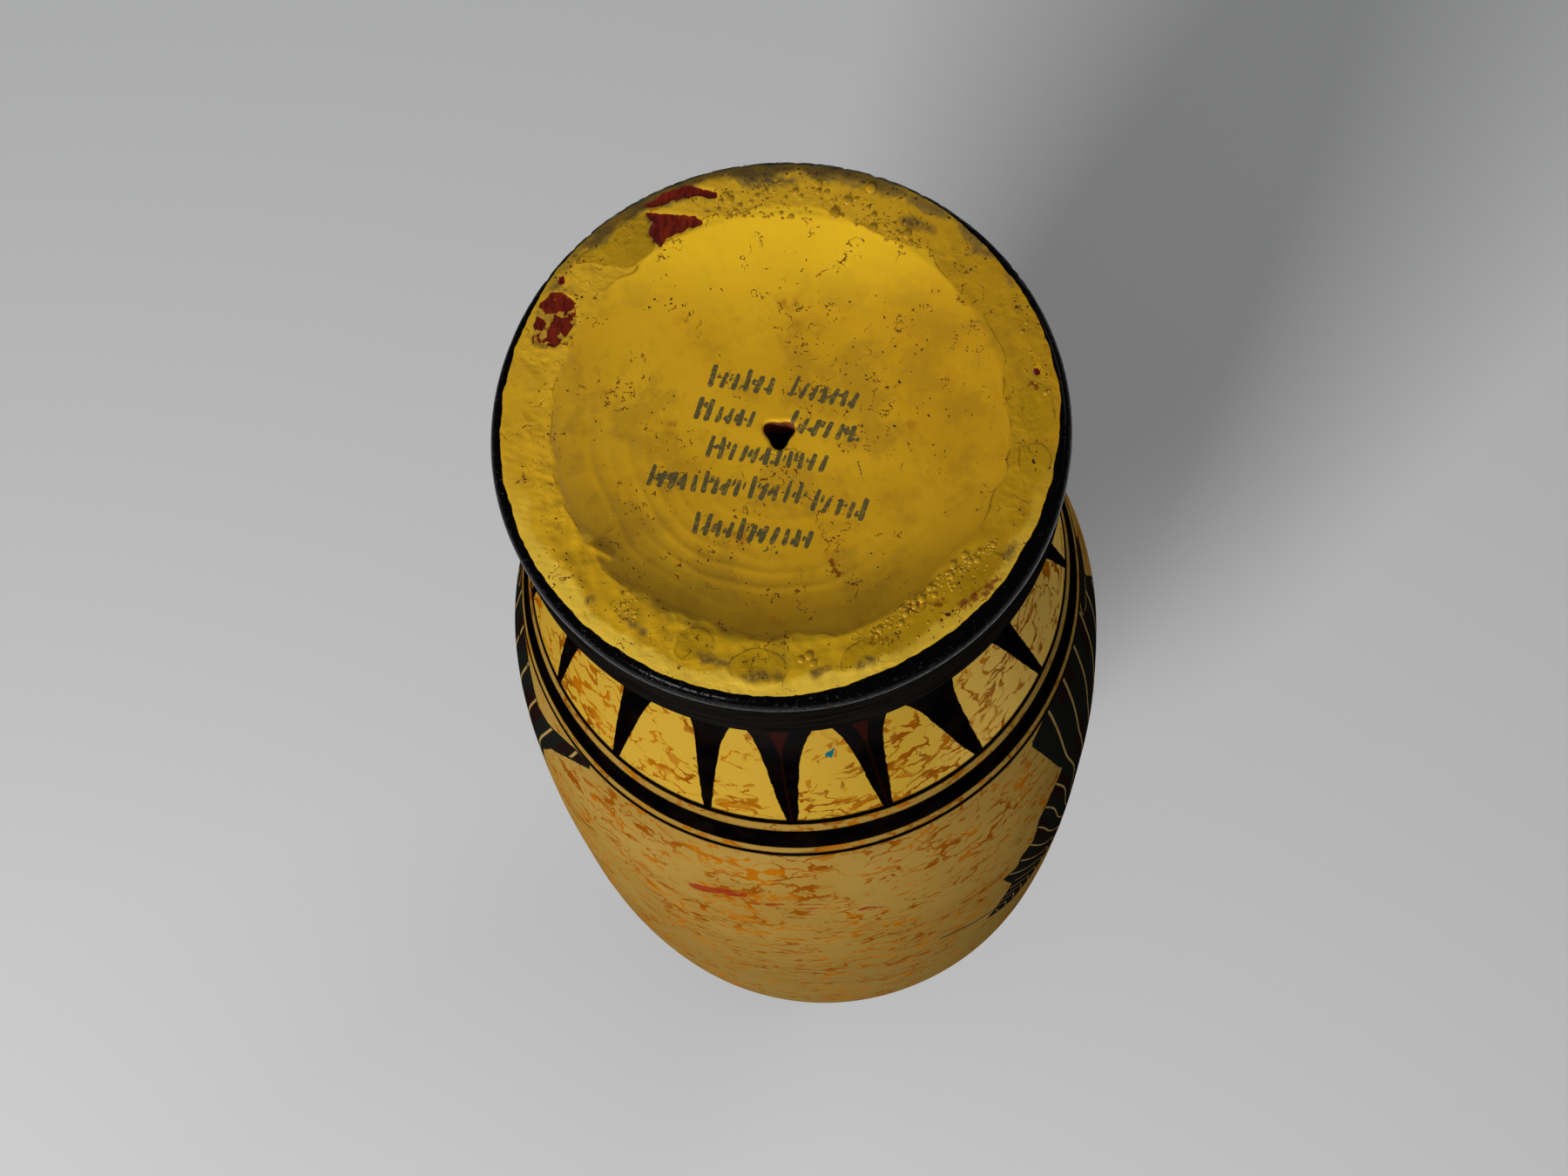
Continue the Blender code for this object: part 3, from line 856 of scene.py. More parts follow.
def make_body(material):
    """The body, shoulder, neck and mouth with their inside, and what the painter's hand did on them."""
    loop, outside_count = body_loop()
    piece = turned_piece("body", loop, BODY_SEGMENTS, material)
    co = places(piece.data)
    uneven = BODY_UNEVEN * hills(co / 34.0) + BODY_RIPPLE * hills(co / 5.5 * (0.0, 0.0, 1.0))
    co[:, :2] *= (1.0 + uneven * smooth_share(STEM_JOINT_MM, 40.0, co[:, 2]))[:, None]
    set_places(piece.data, co)
    turns, order = np.divmod(np.arange(len(co)), len(loop))
    back = picture_place(co, 90.0)
    keep_values(piece.data, frieze_values(picture_place(co, -90.0)))
    keep_values(
        piece.data,
        {
            "bare_clay": order >= outside_count,
            "crimson": dab_distance(back, DABS),
            "turquoise": dab_distance(back, (TURQUOISE,)),
        },
    )
    corners = np.empty(len(piece.data.loops), int)
    piece.data.loops.foreach_get("vertex_index", corners)
    corner_turn = turns[corners].reshape(-1, 4)
    wraps = np.ptp(corner_turn, axis=1, keepdims=True) > 2
    corner_turn = np.where(wraps & (corner_turn == 0), BODY_SEGMENTS, corner_turn).ravel()
    heights = co[corners, 2]
    rays = ray_turn(corner_turn * 360.0 / BODY_SEGMENTS, heights)
    layer = piece.data.uv_layers.new(name="rays")
    layer.data.foreach_set("uv", np.column_stack((rays, heights)).ravel().astype(np.float32))
    return piece


HANDLE_WIDTH_MM = 19.0
HANDLE_THICKNESS_MM = 7.5
HANDLE_SPREAD = 0.3
HANDLE_PATH = (
    (34.8, 247.5), (37.0, 251.9), (38.4, 257.5), (39.0, 263.7), (39.1, 269.0), (38.2, 274.0),
    (36.2, 278.4), (31.9, 281.5), (25.2, 282.9), (18.9, 282.9), (12.9, 282.7),
)


def make_handle(material):
    """The strap handle, from the shoulder up and in to the neck."""
    line = flowing(HANDLE_PATH, HANDLE_STEP_MM)
    start = path_object("handle_path", [(0.0, y * MM, z * MM) for y, z in line])
    sizes = {"Width": HANDLE_WIDTH_MM * MM, "Thickness": HANDLE_THICKNESS_MM * MM, "Spread": HANDLE_SPREAD}
    piece = grown("handle", start, strap_tree(), {**sizes, "Finish": material})
    piece.data.set_sharp_from_angle(angle=math.radians(50))
    return piece


def mix(share, first, second):
    """A colour between two others."""
    inputs = {0: share, 6: first, 7: second}
    return node(tree_of(share, first, second), "ShaderNodeMix", inputs, data_type="RGBA")[2]


def layered(base, *layers):
    """Colours laid over a base one after another, each by its share."""
    for share, tint in layers:
        base = mix(share, base, tint)
    return base


def blend(share, first, second):
    """A number between two others."""
    inputs = {0: share, 2: first, 3: second}
    return node(tree_of(share, first, second), "ShaderNodeMix", inputs, data_type="FLOAT")[0]


def clouds(place, scale, detail=2.0, roughness=0.5, output="Fac"):
    """Soft noise from 0 to 1."""
    inputs = {"Vector": place, "Scale": scale, "Detail": detail, "Roughness": roughness}
    return node(place.tree, "ShaderNodeTexNoise", inputs)[output]


def sway(place, scale, amount):
    """Noise about zero, for edges that a hand painted."""
    return (clouds(place, scale, 3.0) - 0.5) * amount


def bent(place, flat, scale, reach, detail=2.0):
    """A place pushed about by coloured noise, as far as the reach."""
    return vector("MULTIPLY_ADD", clouds(place, scale, detail, output="Color"), (reach, reach, reach), flat)


def towards(place, x, y):
    """How far a place lies in a direction across the vase."""
    return vector("DOT_PRODUCT", place, (x, y, 0.0))


def value_of(place, name):
    """A number that was kept for every vertex."""
    return node(place.tree, "ShaderNodeAttribute", attribute_name=name)["Fac"]


def cell_colour(cells, part):
    """One part of the random colour of each Voronoi cell."""
    return node(cells["Color"].tree, "ShaderNodeSeparateColor", {"Color": cells["Color"]})[part]


def use(group, inputs):
    """The outputs of a shader group in the tree that its inputs come from."""
    return node(tree_of(*inputs.values()), "ShaderNodeGroup", inputs, node_tree=group)


def set_bump(shader, height, strength, distance):
    inputs = {"Height": height, "Strength": strength, "Distance": distance}
    feed(shader["Normal"], node(height.tree, "ShaderNodeBump", inputs)["Normal"])


def pits_group():
    """Scattered pin holes and short cracks in a lacquer skin: a mask of each, places in millimetres."""
    inputs = {"Place": "Vector", "Spacing": 1.6, "Amount": 0.5}
    outputs = {"Holes": "Float", "Cracks": "Float"}
    tree, given, made = new_group("ShaderNodeTree", "pin_holes_and_cracks", inputs, outputs)
    place = given["Place"]
    density = maths("DIVIDE", 1.0, given["Spacing"])
    spots = {"Vector": bent(place, place, 1.7, 0.9), "Scale": density, "Randomness": 1.0}
    cells = node(tree, "ShaderNodeTexVoronoi", spots)
    patches = ease(clouds(place, 0.15, 3.0, 0.6), 0.44, 0.66)
    wanted = maths("SUBTRACT", patches * given["Amount"], cell_colour(cells, 0), clamp=True)
    size = maths("MINIMUM", maths("POWER", wanted, 0.5) * 0.36, 0.2)
    holes = ease(cells["Distance"] - size, 0.03, -0.03)
    line = ease(away(clouds(place, 0.34, 3.0, 0.55), 0.5), 0.014, 0.006)
    dashes = ease(clouds(place, 0.9), 0.46, 0.52)
    here = ease(clouds(place, 0.21), 0.53, 0.57)
    feed(made["Holes"], holes * maths("GREATER_THAN", wanted, 0.01))
    feed(made["Cracks"], line * dashes * here)
    return tree


def grime_group():
    """Grey dust and dark specks that gather in patches, places in millimetres."""
    inputs = {"Place": "Vector", "Amount": 0.5}
    tree, given, made = new_group("ShaderNodeTree", "grime", inputs, {"Mask": "Float", "Specks": "Float"})
    place, amount = given["Place"], given["Amount"]
    reach = amount * -0.5 + 0.80
    grains = node(tree, "ShaderNodeTexVoronoi", {"Vector": place, "Scale": 1.3})
    wanted = maths("SUBTRACT", amount, cell_colour(grains, 1) + 0.12, clamp=True)
    specks = ease(grains["Distance"] - maths("POWER", wanted, 0.5) * 0.36, 0.05, -0.03)
    feed(made["Mask"], ease(clouds(place, 0.24, 5.0, 0.65), reach, reach + 0.16))
    feed(made["Specks"], specks * maths("GREATER_THAN", wanted, 0.01))
    return tree


def varnish_group():
    """The slow waves and brush drag of a thick clear varnish, as a height, places in millimetres."""
    inputs = {"Place": "Vector", "Drag": (1.0, 1.0, 0.3)}
    tree, given, made = new_group("ShaderNodeTree", "varnish_skin", inputs, {"Height": "Float"})
    waves = clouds(given["Place"], 0.16, 3.0, 0.45)
    streaks = clouds(vector("MULTIPLY", given["Place"], given["Drag"]), 1.1, 4.0, 0.55)
    feed(made["Height"], waves * 0.8 + streaks * 0.25)
    return tree


def bar_group():
    """A square-ended bar of the key pattern, as a mask, in the pattern's own flat millimetres."""
    inputs = {"Across": 0.0, "Up": 0.0, "Middle": (0.0, 0.0, 0.0), "Half Size": (1.0, 1.0, 0.0)}
    tree, given, made = new_group("ShaderNodeTree", "pattern_bar", inputs, {"Mask": "Float"})
    middle = split(given["Middle"])
    half = split(given["Half Size"])
    across = away(given["Across"], middle[0]) - half[0]
    up = away(given["Up"], middle[1]) - half[1]
    feed(made["Mask"], ease(most(across, up), 0.08, -0.08))
    return tree


def stroke_group():
    """One thin painted stroke from a start to an end, as a mask, on the unrolled body."""
    inputs = {"Place": "Vector", "Start": (0.0, 0.0, 0.0), "Run": (0.0, 1.0, 0.0), "Half Width": 0.5}
    tree, given, made = new_group("ShaderNodeTree", "thin_stroke", inputs, {"Mask": "Float"})
    run = given["Run"]
    offset = vector("SUBTRACT", given["Place"], given["Start"])
    share = maths("DIVIDE", vector("DOT_PRODUCT", offset, run), vector("DOT_PRODUCT", run, run), clamp=True)
    far = vector("DISTANCE", offset, scaled(run, share))
    feed(made["Mask"], ease(far - given["Half Width"], 0.1, -0.1))
    return tree


def new_material(name):
    """A material, the inputs of its shader, and the place on the object in millimetres."""
    material = bpy.data.materials.new(name)
    material.use_nodes = True
    tree = material.node_tree
    place = scaled(node(tree, "ShaderNodeTexCoord")["Object"], 1000.0)
    return material, tree.nodes["Principled BSDF"].inputs, place


def clay_colour(place):
    """Bare fired clay: brick red with darker and paler grains."""
    return mix(ease(clouds(place, 0.5, 4.0, 0.6), 0.3, 0.7), (96, 44, 22), (150, 82, 48))


def face_sheen(place):
    """A satin sheen that fades where the surface turns away, as the photograph has no haze at its flanks."""
    facing = node(place.tree, "ShaderNodeLayerWeight", {"Blend": 0.5})["Facing"]
    return ease(facing, 0.44, 0.12, 0.0, 0.2)


def lacquer_yellow(place, x, y, radius, band, puddle):
    """The yellow of dish, ring and pools: darker where thick, painted shade low and right, painted light
    high and upper left.
    """
    broad = clouds(place, 0.07, 3.0)
    middle = clouds(place, 0.35, 4.0, 0.55)
    soiled = ease(clouds(place, 0.13, 5.0, 0.65), 0.50, 0.62, 0.0, 0.4)
    on_ring = ease(band, 0.5, -0.5)
    # Painted light: the ring is lighter towards the upper left.
    painted_light_upper_left = ease(towards(place, 0.6, 0.8), 2.0, -16.0)
    ring = mix(ease(middle, 0.3, 0.7), (216, 168, 22), (190, 145, 10))
    ring = mix(painted_light_upper_left * 0.62, ring, (240, 186, 42))
    far_right = towards(place, 0.87, -0.5)
    seam = ease(far_right, 20.0, 31.0, 1.0, 0.35) * ease(far_right, -20.0, -31.0, 1.0, 0.6)
    # Painted shade: the lower wall of the dish is darker.
    painted_shade_low_wall = ease(y, 6.0, 26.0) * ease(radius, 17.0, 29.0) * ease(band, -0.5, 0.5)
    # Painted light: the upper wall of the dish is lighter.
    painted_light_high_wall = ease(y, -14.0, -27.0) * ease(band, -0.3, 0.6)
    # Painted shade: the lacquer darkens towards the right.
    painted_shade_right = ease(x, 8.0, 34.0)
    in_puddle = ease(puddle, 0.12, -0.12)
    pool = mix(ease(broad, 0.35, 0.65), (188, 144, 8), (160, 120, 4))
    broken = ease(clouds(place, 0.3, 3.0), 0.45, 0.60) * 0.6
    puddle_rim, band_rim = (ease(away(distance, -0.05), 0.20, 0.03) for distance in (puddle, band))
    outer = radius + sway(place, 0.16, 4.5) + sway(place, 0.9, 0.8)
    # The pale lower lip fades to the right under the same painted shade.
    lip_dimmed_by_painted_shade = ease(painted_shade_right, 0.25, 0.0, 0.55, 0.9)
    yellow = layered(
        mix(ease(broad, 0.3, 0.7), (232, 178, 28), (220, 164, 20)),
        (ease(middle, 0.48, 0.75, 0.0, 0.45), (190, 140, 24)),
        (soiled, (176, 132, 30)),
        (on_ring * seam, ring),
        (painted_shade_low_wall * 0.68, (138, 101, 4)),
        (painted_light_high_wall * 0.8, (255, 204, 34)),
        (painted_shade_right * 0.42, (164, 116, 2)),
        (in_puddle * 0.7, pool),
        (puddle_rim * broken, (110, 78, 10)),
        (band_rim * broken, (110, 78, 10)),
        (ease(outer, 35.0, 36.2) * ease(y, 2.0, 22.0) * lip_dimmed_by_painted_shade, (246, 202, 66)),
    )
    return yellow, on_ring, in_puddle, outer


def lacquered_foot(pits, grime, varnish):
    """Yellow lacquer under the foot with pools, chips, stamp ink and dirt; black paint on its side."""
    material, shader, place = new_material("lacquered_foot")
    x, y, z = split(place)
    radius = maths("SQRT", x * x + y * y)
    band, puddle = value_of(place, "band"), value_of(place, "puddle")
    yellow, on_ring, in_puddle, outer = lacquer_yellow(place, x, y, radius, band, puddle)

    frothy = ease(value_of(place, "froth"), 0.5, -0.5)
    holes = use(pits, {"Place": place, "Spacing": 0.75, "Amount": frothy * 0.9 + 0.62})
    wide_holes = use(pits, {"Place": place, "Spacing": 1.9, "Amount": on_ring * 0.35})
    pitted = most(holes["Holes"], wide_holes["Holes"])
    stain = ease(clouds(place, 0.18, 4.0, 0.6), 0.66, 0.74) * 0.5
    top_edge = ease(outer, 34.6, 37.0) * ease(y, -10.0, -28.0)
    low_ring = on_ring * ease(y, 20.0, 31.0) * ease(outer, 36.0, 35.4)
    dirt = use(grime, {"Place": place, "Amount": top_edge * 0.65 + on_ring * 0.2 + low_ring * 0.22})
    worn = ease(outer, 36.2, 37.5) * ease(y, -12.0, -33.0) * ease(x, 20.0, 9.0, 0.3, 1.0)
    smear = value_of(place, "smear") + sway(place, 1.3, 2.4) + 0.1
    smudge = value_of(place, "smudge") + sway(place, 0.9, 2.0)
    sooty = ease(clouds(place, 1.8, 4.0, 0.7), 0.38, 0.58, 0.35, 1.0)
    ink = value_of(place, "ink") + sway(place, 3.0, 0.22)
    patchy = ease(clouds(place, 1.4, 4.0, 0.75), 0.34, 0.5, 0.55, 0.95)
    in_chip = ease(value_of(place, "chip"), 0.06, -0.06)
    streaks = clouds(vector("MULTIPLY", place, (2.2, 0.5, 1.0)), 0.9, 4.0, 0.6)
    red = mix(ease(streaks, 0.35, 0.70), (88, 7, 3), (132, 36, 9))
    islands = ease(clouds(place, 0.6, 3.0), 0.535, 0.575) * ease(x, -22.0, -26.0)
    lacquer = layered(
        yellow,
        (pitted * 0.95, (54, 26, 8)),
        (holes["Cracks"] * 0.9, (104, 50, 8)),
        (stain, (178, 92, 16)),
        (dirt["Mask"] * 0.6, (104, 88, 52)),
        (dirt["Specks"] * 0.85, (38, 26, 16)),
        (worn * 0.85, (82, 62, 30)),
        (ease(smear, 0.4, -0.3) * 0.85, (118, 46, 8)),
        (ease(smudge, 0.6, -0.5) * sooty * 0.85, (82, 66, 42)),
        (ease(ink, 0.05, -0.04) * patchy, (84, 80, 50)),
        (in_chip, mix(islands, red, (196, 150, 40))),
    )

    arris_to_side = ease(z + sway(place, 0.4, 0.3), 2.5, 2.75)
    brushed = clouds(vector("MULTIPLY", place, (0.12, 0.12, 2.4)), 1.0, 4.0, 0.6)
    # The side's streaked dark grey, against the deep black arris, is brushing and partly a painted
    # reflection of the pale surroundings.
    side_black_and_painted_reflection = mix(ease(brushed, 0.35, 0.7), (12, 10, 9), (26, 24, 21))
    rubbed = ease(clouds(place, 1.1, 4.0, 0.7), 0.66, 0.70) * 0.7
    black = mix(arris_to_side, mix(rubbed, (3, 2, 2), (58, 32, 14)), side_black_and_painted_reflection)
    top_shift = ease(y, -8.0, -30.0) * ease(x, 31.0, 17.0) * 0.75
    right_shift = ease(towards(place, 0.77, 0.64), 25.0, 36.0, 0.15, 1.0)
    edge = radius + sway(place, 0.3, 0.9) + right_shift - top_shift
    on_side = most(ease(edge, 37.86, 37.94), ease(z, 4.4, 4.6))
    bare = value_of(place, "bare_clay")
    feed(shader["Base Color"], mix(bare, mix(on_side, lacquer, black), clay_colour(place)))

    gloss = blend(in_puddle, blend(on_ring, 0.36, 0.28), 0.16)
    gloss = blend(in_chip, blend(dirt["Mask"] * 0.8, gloss, 0.7), 0.4)
    rough = blend(on_side, gloss, blend(arris_to_side, 0.14, 0.4))
    feed(shader["Roughness"], blend(bare, rough, 0.85))
    sheen = blend(arris_to_side, blend(on_side, 0.22, 0.05), face_sheen(place))
    feed(shader["Specular IOR Level"], sheen)

    skin = use(varnish, {"Place": place, "Drag": (1.0, 0.25, 1.0)})
    blobs = ease(clouds(place, 1.3), 0.58, 0.7) * on_side * 0.6
    crusted = ease(clouds(place, 0.11), 0.44, 0.58, 0.25, 1.0)
    creases = away(clouds(place, 0.42, 3.0), 0.5) * on_ring * crusted * -3.0
    height = skin["Height"] - pitted * 0.7 - holes["Cracks"] * 0.35 + blobs + most(creases, -0.6)
    set_bump(shader, height, 0.6, 0.00022)
    return material


def bubble_lacquer(grime):
    """The same yellow lacquer where it rose in bubbles, a little clearer and shinier."""
    material, shader, place = new_material("bubble_lacquer")
    tone = clouds(place, 0.6)
    dirt = use(grime, {"Place": place, "Amount": 0.15})
    yellow = mix(ease(tone, 0.35, 0.65), (206, 158, 22), (178, 134, 12))
    feed(shader["Base Color"], mix(dirt["Mask"] * 0.5, yellow, (110, 92, 58)))
    feed(shader["Roughness"], blend(tone, 0.22, 0.36))
    feed(shader["Specular IOR Level"], 0.3)
    return material


def marbled_ground(place, x, z):
    """Ochre cream with wandering orange and brown veins and blots, with painted light low down and on the
    right, and painted shade higher up.
    """
    shifted = bent(place, vector("MULTIPLY", place, (1.0, 1.0, 1.6)), 0.2, 9.0, 3.0)
    edges = {"Vector": shifted, "Scale": 0.15}
    cells = node(place.tree, "ShaderNodeTexVoronoi", edges, feature="DISTANCE_TO_EDGE")
    width = ease(clouds(place, 0.3, 3.0), 0.36, 0.66) * 0.10
    vein = ease(cells["Distance"] - width, 0.014, -0.010)
    broken = ease(clouds(place, 0.07, 3.0, 0.55), 0.46, 0.53)
    thread = ease(away(clouds(shifted, 0.13), 0.5), 0.024, 0.013)
    thread_here = ease(clouds(place, 0.14, 3.0, 0.6), 0.54, 0.48)
    veins = most(vein * broken, thread * thread_here * 0.9)
    tone = ease(clouds(place, 0.12, 3.0), 0.36, 0.60)
    blot = ease(clouds(shifted, 0.17, 3.0), 0.65, 0.68)
    return layered(
        mix(ease(clouds(place, 0.03, 3.0), 0.35, 0.65), (161, 128, 60), (151, 117, 50)),
        # Painted light on the ground low down, and painted shade darkening it upwards.
        (ease(z, 63.0, 60.0, 0.0, 0.9), (188, 149, 46)),
        (ease(z, 80.0, 210.0, 0.0, 0.8), (127, 103, 52)),
        # Painted light on the right of the ground low down.
        (ease(x, 16.0, 34.0) * ease(z, 63.0, 60.0) * 0.8, (226, 184, 88)),
        (veins * 0.95, mix(tone, (166, 95, 2), (130, 66, 2))),
        (blot * 0.7, (156, 90, 2)),
    )


def painted_rays(place, z):
    """The rays round the base, with their concave sides, and the wine red wedge inside some of them."""
    turn = split(node(place.tree, "ShaderNodeUVMap", uv_map="rays")["UV"])[0]
    number = maths("ROUND", turn)
    from_middle = away(turn, number)
    reach = {"Value": z, "From Min": RAY_BASE_MM, "From Max": RAY_TIP_MM}
    drop = maths("SUBTRACT", 1.0, node(place.tree, "ShaderNodeMapRange", reach)["Result"])
    half = drop * 0.17 + maths("POWER", drop, 8.0) * 0.36 + 0.045 + sway(place, 0.5, 0.03)
    mask = ease(from_middle - half, 0.004, -0.004) * ease(z, RAY_TIP_MM + 0.1, RAY_TIP_MM - 0.1)
    wedge = ease(from_middle - ease(z, 45.0, 35.0) * 0.14, 0.02, -0.02)
    return mask, wedge * maths("LESS_THAN", away(number, 3.5), 0.6)


BLACK_BANDS = (
    (15.0, 27.0), (61.0, 62.3), (64.5, 69.9), (71.8, 72.9), (234.5, 240.5), (259.6, 260.6), (284.0, 345.0),
)
KEY_LINES = ((203.6, 204.8), (217.4, 218.6))
KEY_BASE_MM = 206.4
KEY_UNITS = 36
KEY_REACH = 13
# Each bar of one key: its middle and its half size, across and up
KEY_BARS = (
    ((1.2, 4.4), (0.55, 4.2)), ((4.6, 8.0), (3.95, 0.55)), ((8.0, 5.2), (0.55, 3.3)),
    ((5.9, 2.4), (2.6, 0.55)), ((3.8, 4.0), (0.55, 2.1)), ((4.9, 5.6), (1.6, 0.5)),
)
# The tongues on the shoulder and the bars on the neck: how many, from and to what height, and width
TONGUES = ((40, 243.4, 257.5, 0.33), (22, 262.5, 278.0, 0.24))


def outside_band(level, low, high):
    """How far a level is outside a band, negative in it."""
    return away(level, (low + high) / 2) - (high - low) / 2


def painted_pattern(place, x, y, z, bar):
    """The lines round the vase, the key border over the frieze, the tongues and the bars of the neck."""
    level = z + (sway(place, 0.05, 0.9) + sway(place, 0.9, 0.2))
    turn = maths("DIVIDE", maths("ARCTAN2", x, y * -1.0), math.tau)
    painted = most(*(ease(outside_band(level, *line), 0.08, -0.08) for line in KEY_LINES))
    across = maths("FRACT", turn * KEY_UNITS) * (math.tau * PICTURE_RADIUS_MM / KEY_UNITS)
    up = level - KEY_BASE_MM
    for middle, half in KEY_BARS:
        values = {"Across": across, "Up": up, "Middle": (*middle, 0.0), "Half Size": (*half, 0.0)}
        painted = most(painted, use(bar, values)["Mask"])
    painted = painted * maths("LESS_THAN", away(turn, 0.0), KEY_REACH / KEY_UNITS + 0.002)
    far = [outside_band(level, *band) for band in BLACK_BANDS]
    painted = most(painted, *(ease(distance, 0.08, -0.08) for distance in far))
    fringe = most(*(ease(distance, 0.45, 0.05) for distance in far))
    for count, low, high, share in TONGUES:
        swing = away(maths("FRACT", turn * count), 0.5)
        taper = maths("POWER", ease(z, low, low + 6.0), 0.5) * share
        within = ease(z, low, low + 0.4) * ease(z, high, high - 0.4)
        painted = most(painted, ease(swing - taper, 0.02, -0.02) * within)
    return painted, fringe, turn


def painted_figures(place, turn, z, stroke):
    """The frieze's black figures, their incised lines, and where their robes are washed with wine red."""
    unrolled = joined(place.tree, turn * (math.tau * PICTURE_RADIUS_MM), z, 0.0)
    figures = value_of(place, "figures") + sway(place, 0.7, 0.5)
    painted = ease(figures, 0.10, -0.10)
    for (start_x, start_z), (end_x, end_z) in SPEARS:
        start, run = (start_x, start_z, 0.0), (end_x - start_x, end_z - start_z, 0.0)
        values = {"Place": unrolled, "Start": start, "Run": run, "Half Width": 0.45}
        painted = most(painted, use(stroke, values)["Mask"])
    limbs, robes, folds = (value_of(place, name) for name in ("limbs", "robes", "folds"))
    outline = ease(away(limbs, 0.0), 0.26, 0.14)
    fold = ease(away(maths("FRACT", folds), 0.5), 0.055, 0.03)
    fold = fold * ease(robes, -0.3, -0.8) * ease(limbs, 0.3, 0.8)
    rings = ease(away(value_of(place, "shield"), -2.6), 0.32, 0.18)
    broken = ease(clouds(place, 0.35, 3.0), 0.30, 0.40)
    lines = most(outline, fold, rings) * ease(figures, -0.45, -0.75) * broken
    every_other = maths("GREATER_THAN", maths("FRACT", folds * 0.5), 0.5)
    wine = every_other * ease(robes, -0.4, -0.9) * ease(clouds(place, 0.05), 0.44, 0.56)
    return painted, lines, wine


def painted_body(grime, varnish, bar, stroke):
    """Marbled ochre ground with black rays, lines, borders and frieze, under a thin satin varnish."""
    material, shader, place = new_material("painted_body")
    x, y, z = split(place)
    rays, wedge = painted_rays(place, z)
    pattern, fringe, turn = painted_pattern(place, x, y, z, bar)
    figures, lines, wine = painted_figures(place, turn, z, stroke)
    crimson = ease(value_of(place, "crimson") + sway(place, 0.5, 0.8), 0.25, -0.25)
    ink = mix(ease(clouds(place, 0.25, 3.0), 0.4, 0.75), (3, 2, 2), (13, 7, 5))
    black = most(rays, pattern, figures)
    dirt = use(grime, {"Place": place, "Amount": 0.2})
    paint = layered(
        marbled_ground(place, x, z),
        (crimson * 0.85, (136, 34, 18)),
        (ease(value_of(place, "turquoise"), 0.15, -0.15), (14, 96, 104)),
        (fringe * 0.6, (96, 72, 16)),
        # The figures are dark grey, not ink black: a painted reflection of the pale surroundings on them.
        (black, mix(figures, ink, (25, 25, 21))),
        (wedge * rays * 0.8, (46, 9, 3)),
        (wine * figures * 0.6, (32, 9, 10)),
        (lines * 0.9, (168, 138, 78)),
        (dirt["Mask"] * 0.35, (104, 82, 48)),
    )
    bare = value_of(place, "bare_clay")
    feed(shader["Base Color"], mix(bare, paint, clay_colour(place)))
    feed(shader["Roughness"], blend(bare, 0.24, 0.85))
    feed(shader["Specular IOR Level"], face_sheen(place))
    skin = use(varnish, {"Place": place, "Drag": (1.0, 1.0, 0.3)})
    set_bump(shader, skin["Height"] + black * 0.15 - lines * 0.5, 0.4, 0.00025)
    return material


def black_gloss(varnish):
    """Thick black paint on the handle."""
    material, shader, place = new_material("black_gloss")
    tone = clouds(place, 0.3, 3.0)
    feed(shader["Base Color"], mix(ease(tone, 0.4, 0.7), (6, 5, 5), (26, 14, 10)))
    feed(shader["Roughness"], blend(tone, 0.14, 0.3))
    skin = use(varnish, {"Place": place, "Drag": (1.0, 0.3, 0.3)})
    set_bump(shader, skin["Height"], 0.35, 0.00025)
    return material


# The backdrops, and the middle of the vase, where the lamps point
BACKDROP_HALF = 4.0
BACKDROP_GAP = 0.0005
LAMP_TARGET = Vector((0.0, 0.0, 0.15))


def backdrop_material(name, grey):
    """A plain pale surface that shows only its front, so that no view is blocked by its back."""
    material = bpy.data.materials.new(name)
    material.use_nodes = True
    tree = material.node_tree
    tree.nodes.remove(tree.nodes["Principled BSDF"])
    matt = node(tree, "ShaderNodeBsdfDiffuse", {"Color": (grey, grey, grey, 1.0)})[0]
    clear = node(tree, "ShaderNodeBsdfTransparent")[0]
    back = node(tree, "ShaderNodeNewGeometry")["Backfacing"]
    shown = node(tree, "ShaderNodeMixShader", {0: back, 1: matt, 2: clear})[0]
    feed(tree.nodes["Material Output"].inputs["Surface"], shown)
    return material


def plane(name, height, facing_up, material):
    """A square backdrop at a height, facing up or down, that casts no shadow."""
    round_the_square = ((-1, -1), (1, -1), (1, 1), (-1, 1))
    corners = [(x * BACKDROP_HALF, y * BACKDROP_HALF, height) for x, y in round_the_square]
    mesh = bpy.data.meshes.new(name)
    mesh.from_pydata(corners if facing_up else corners[::-1], [], [(0, 1, 2, 3)])
    mesh.materials.append(material)
    piece = bpy.data.objects.new(name, mesh)
    piece.visible_shadow = False
    bpy.context.scene.collection.objects.link(piece)
    return piece


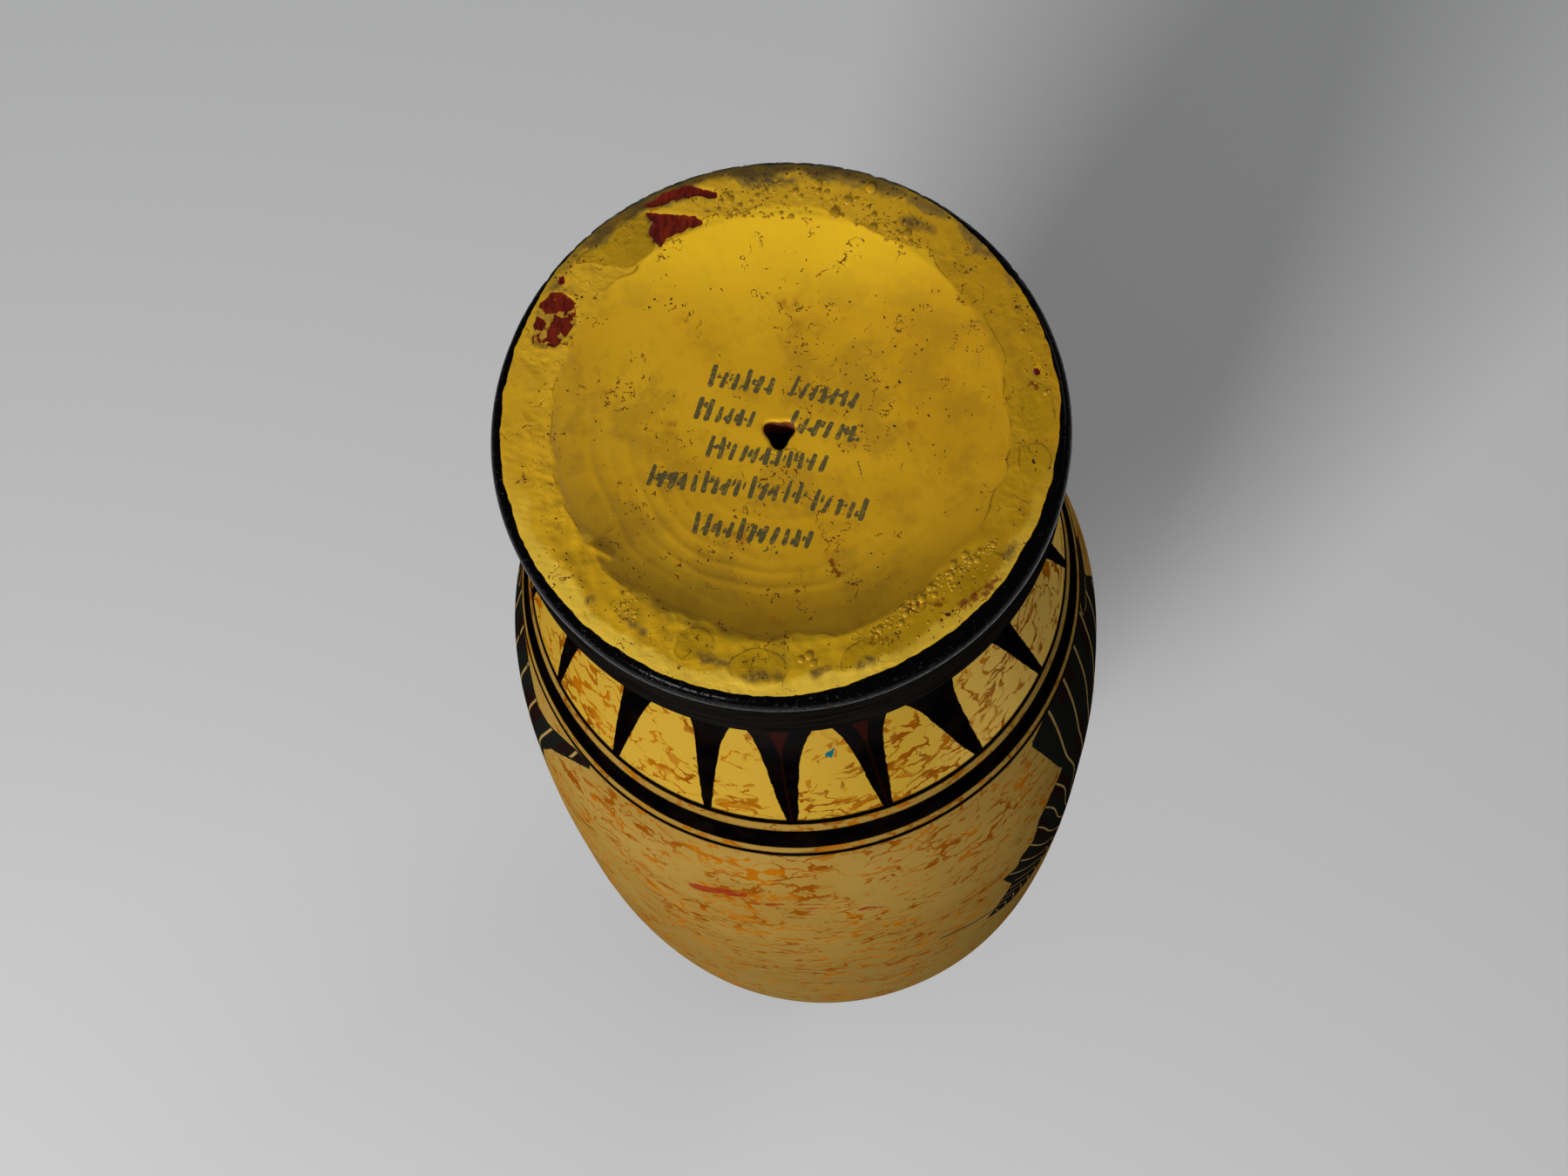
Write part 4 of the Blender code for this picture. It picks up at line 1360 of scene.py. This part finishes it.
def soft_light(name, place, size, power):
    """A square lamp turned to the middle of the vase."""
    data = bpy.data.lights.new(name, "AREA")
    data.shape = "SQUARE"
    data.size = size
    data.energy = power
    lamp = bpy.data.objects.new(name, data)
    lamp.location = place
    lamp.rotation_euler = (LAMP_TARGET - lamp.location).to_track_quat("-Z", "Y").to_euler()
    bpy.context.scene.collection.objects.link(lamp)


def make_camera():
    data = bpy.data.cameras.new("camera")
    data.sensor_width = 36.0
    data.lens = CAMERA_LENS
    data.clip_start = 0.01
    camera = bpy.data.objects.new("camera", data)
    ahead = CAMERA_AHEAD.normalized()
    right = ahead.cross(CAMERA_UP).normalized()
    turn = Matrix((right, right.cross(ahead), -ahead)).transposed().to_4x4()
    camera.matrix_world = Matrix.Translation(CAMERA_PLACE) @ turn
    bpy.context.scene.collection.objects.link(camera)
    bpy.context.scene.camera = camera


def make_studio():
    """The surface that the vase stood on, mouth down, a floor for upright views, and soft light."""
    plane("table", HIGH.z + BACKDROP_GAP, False, backdrop_material("pale_table", 0.82))
    floor = plane("floor", -BACKDROP_GAP, True, backdrop_material("pale_floor", 0.62))
    floor.visible_diffuse = False
    floor.visible_glossy = False
    world = bpy.data.worlds.new("studio")
    world.use_nodes = True
    background = world.node_tree.nodes["Background"]
    background.inputs["Color"].default_value = (0.80, 0.82, 0.84, 1.0)
    background.inputs["Strength"].default_value = 0.22
    bpy.context.scene.world = world
    soft_light("window", (-0.42, 0.78, -0.36), 0.32, 8.5)
    soft_light("lamp", (0.75, -0.55, -0.75), 0.4, 1.4)
    soft_light("overhead", (0.3, -0.5, 1.3), 0.8, 8.0)
    bpy.context.scene.view_settings.view_transform = "Standard"


def main():
    make_camera()
    make_studio()
    pits = pits_group()
    grime = grime_group()
    varnish = varnish_group()
    pieces = [
        make_foot(lacquered_foot(pits, grime, varnish)),
        make_bubbles(bubble_lacquer(grime)),
        make_body(painted_body(grime, varnish, bar_group(), stroke_group())),
        make_handle(black_gloss(varnish)),
    ]
    for piece in pieces:
        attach(piece, "root")
        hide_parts("lekythos")
        print(piece.name, len(piece.data.polygons), "faces")


main()
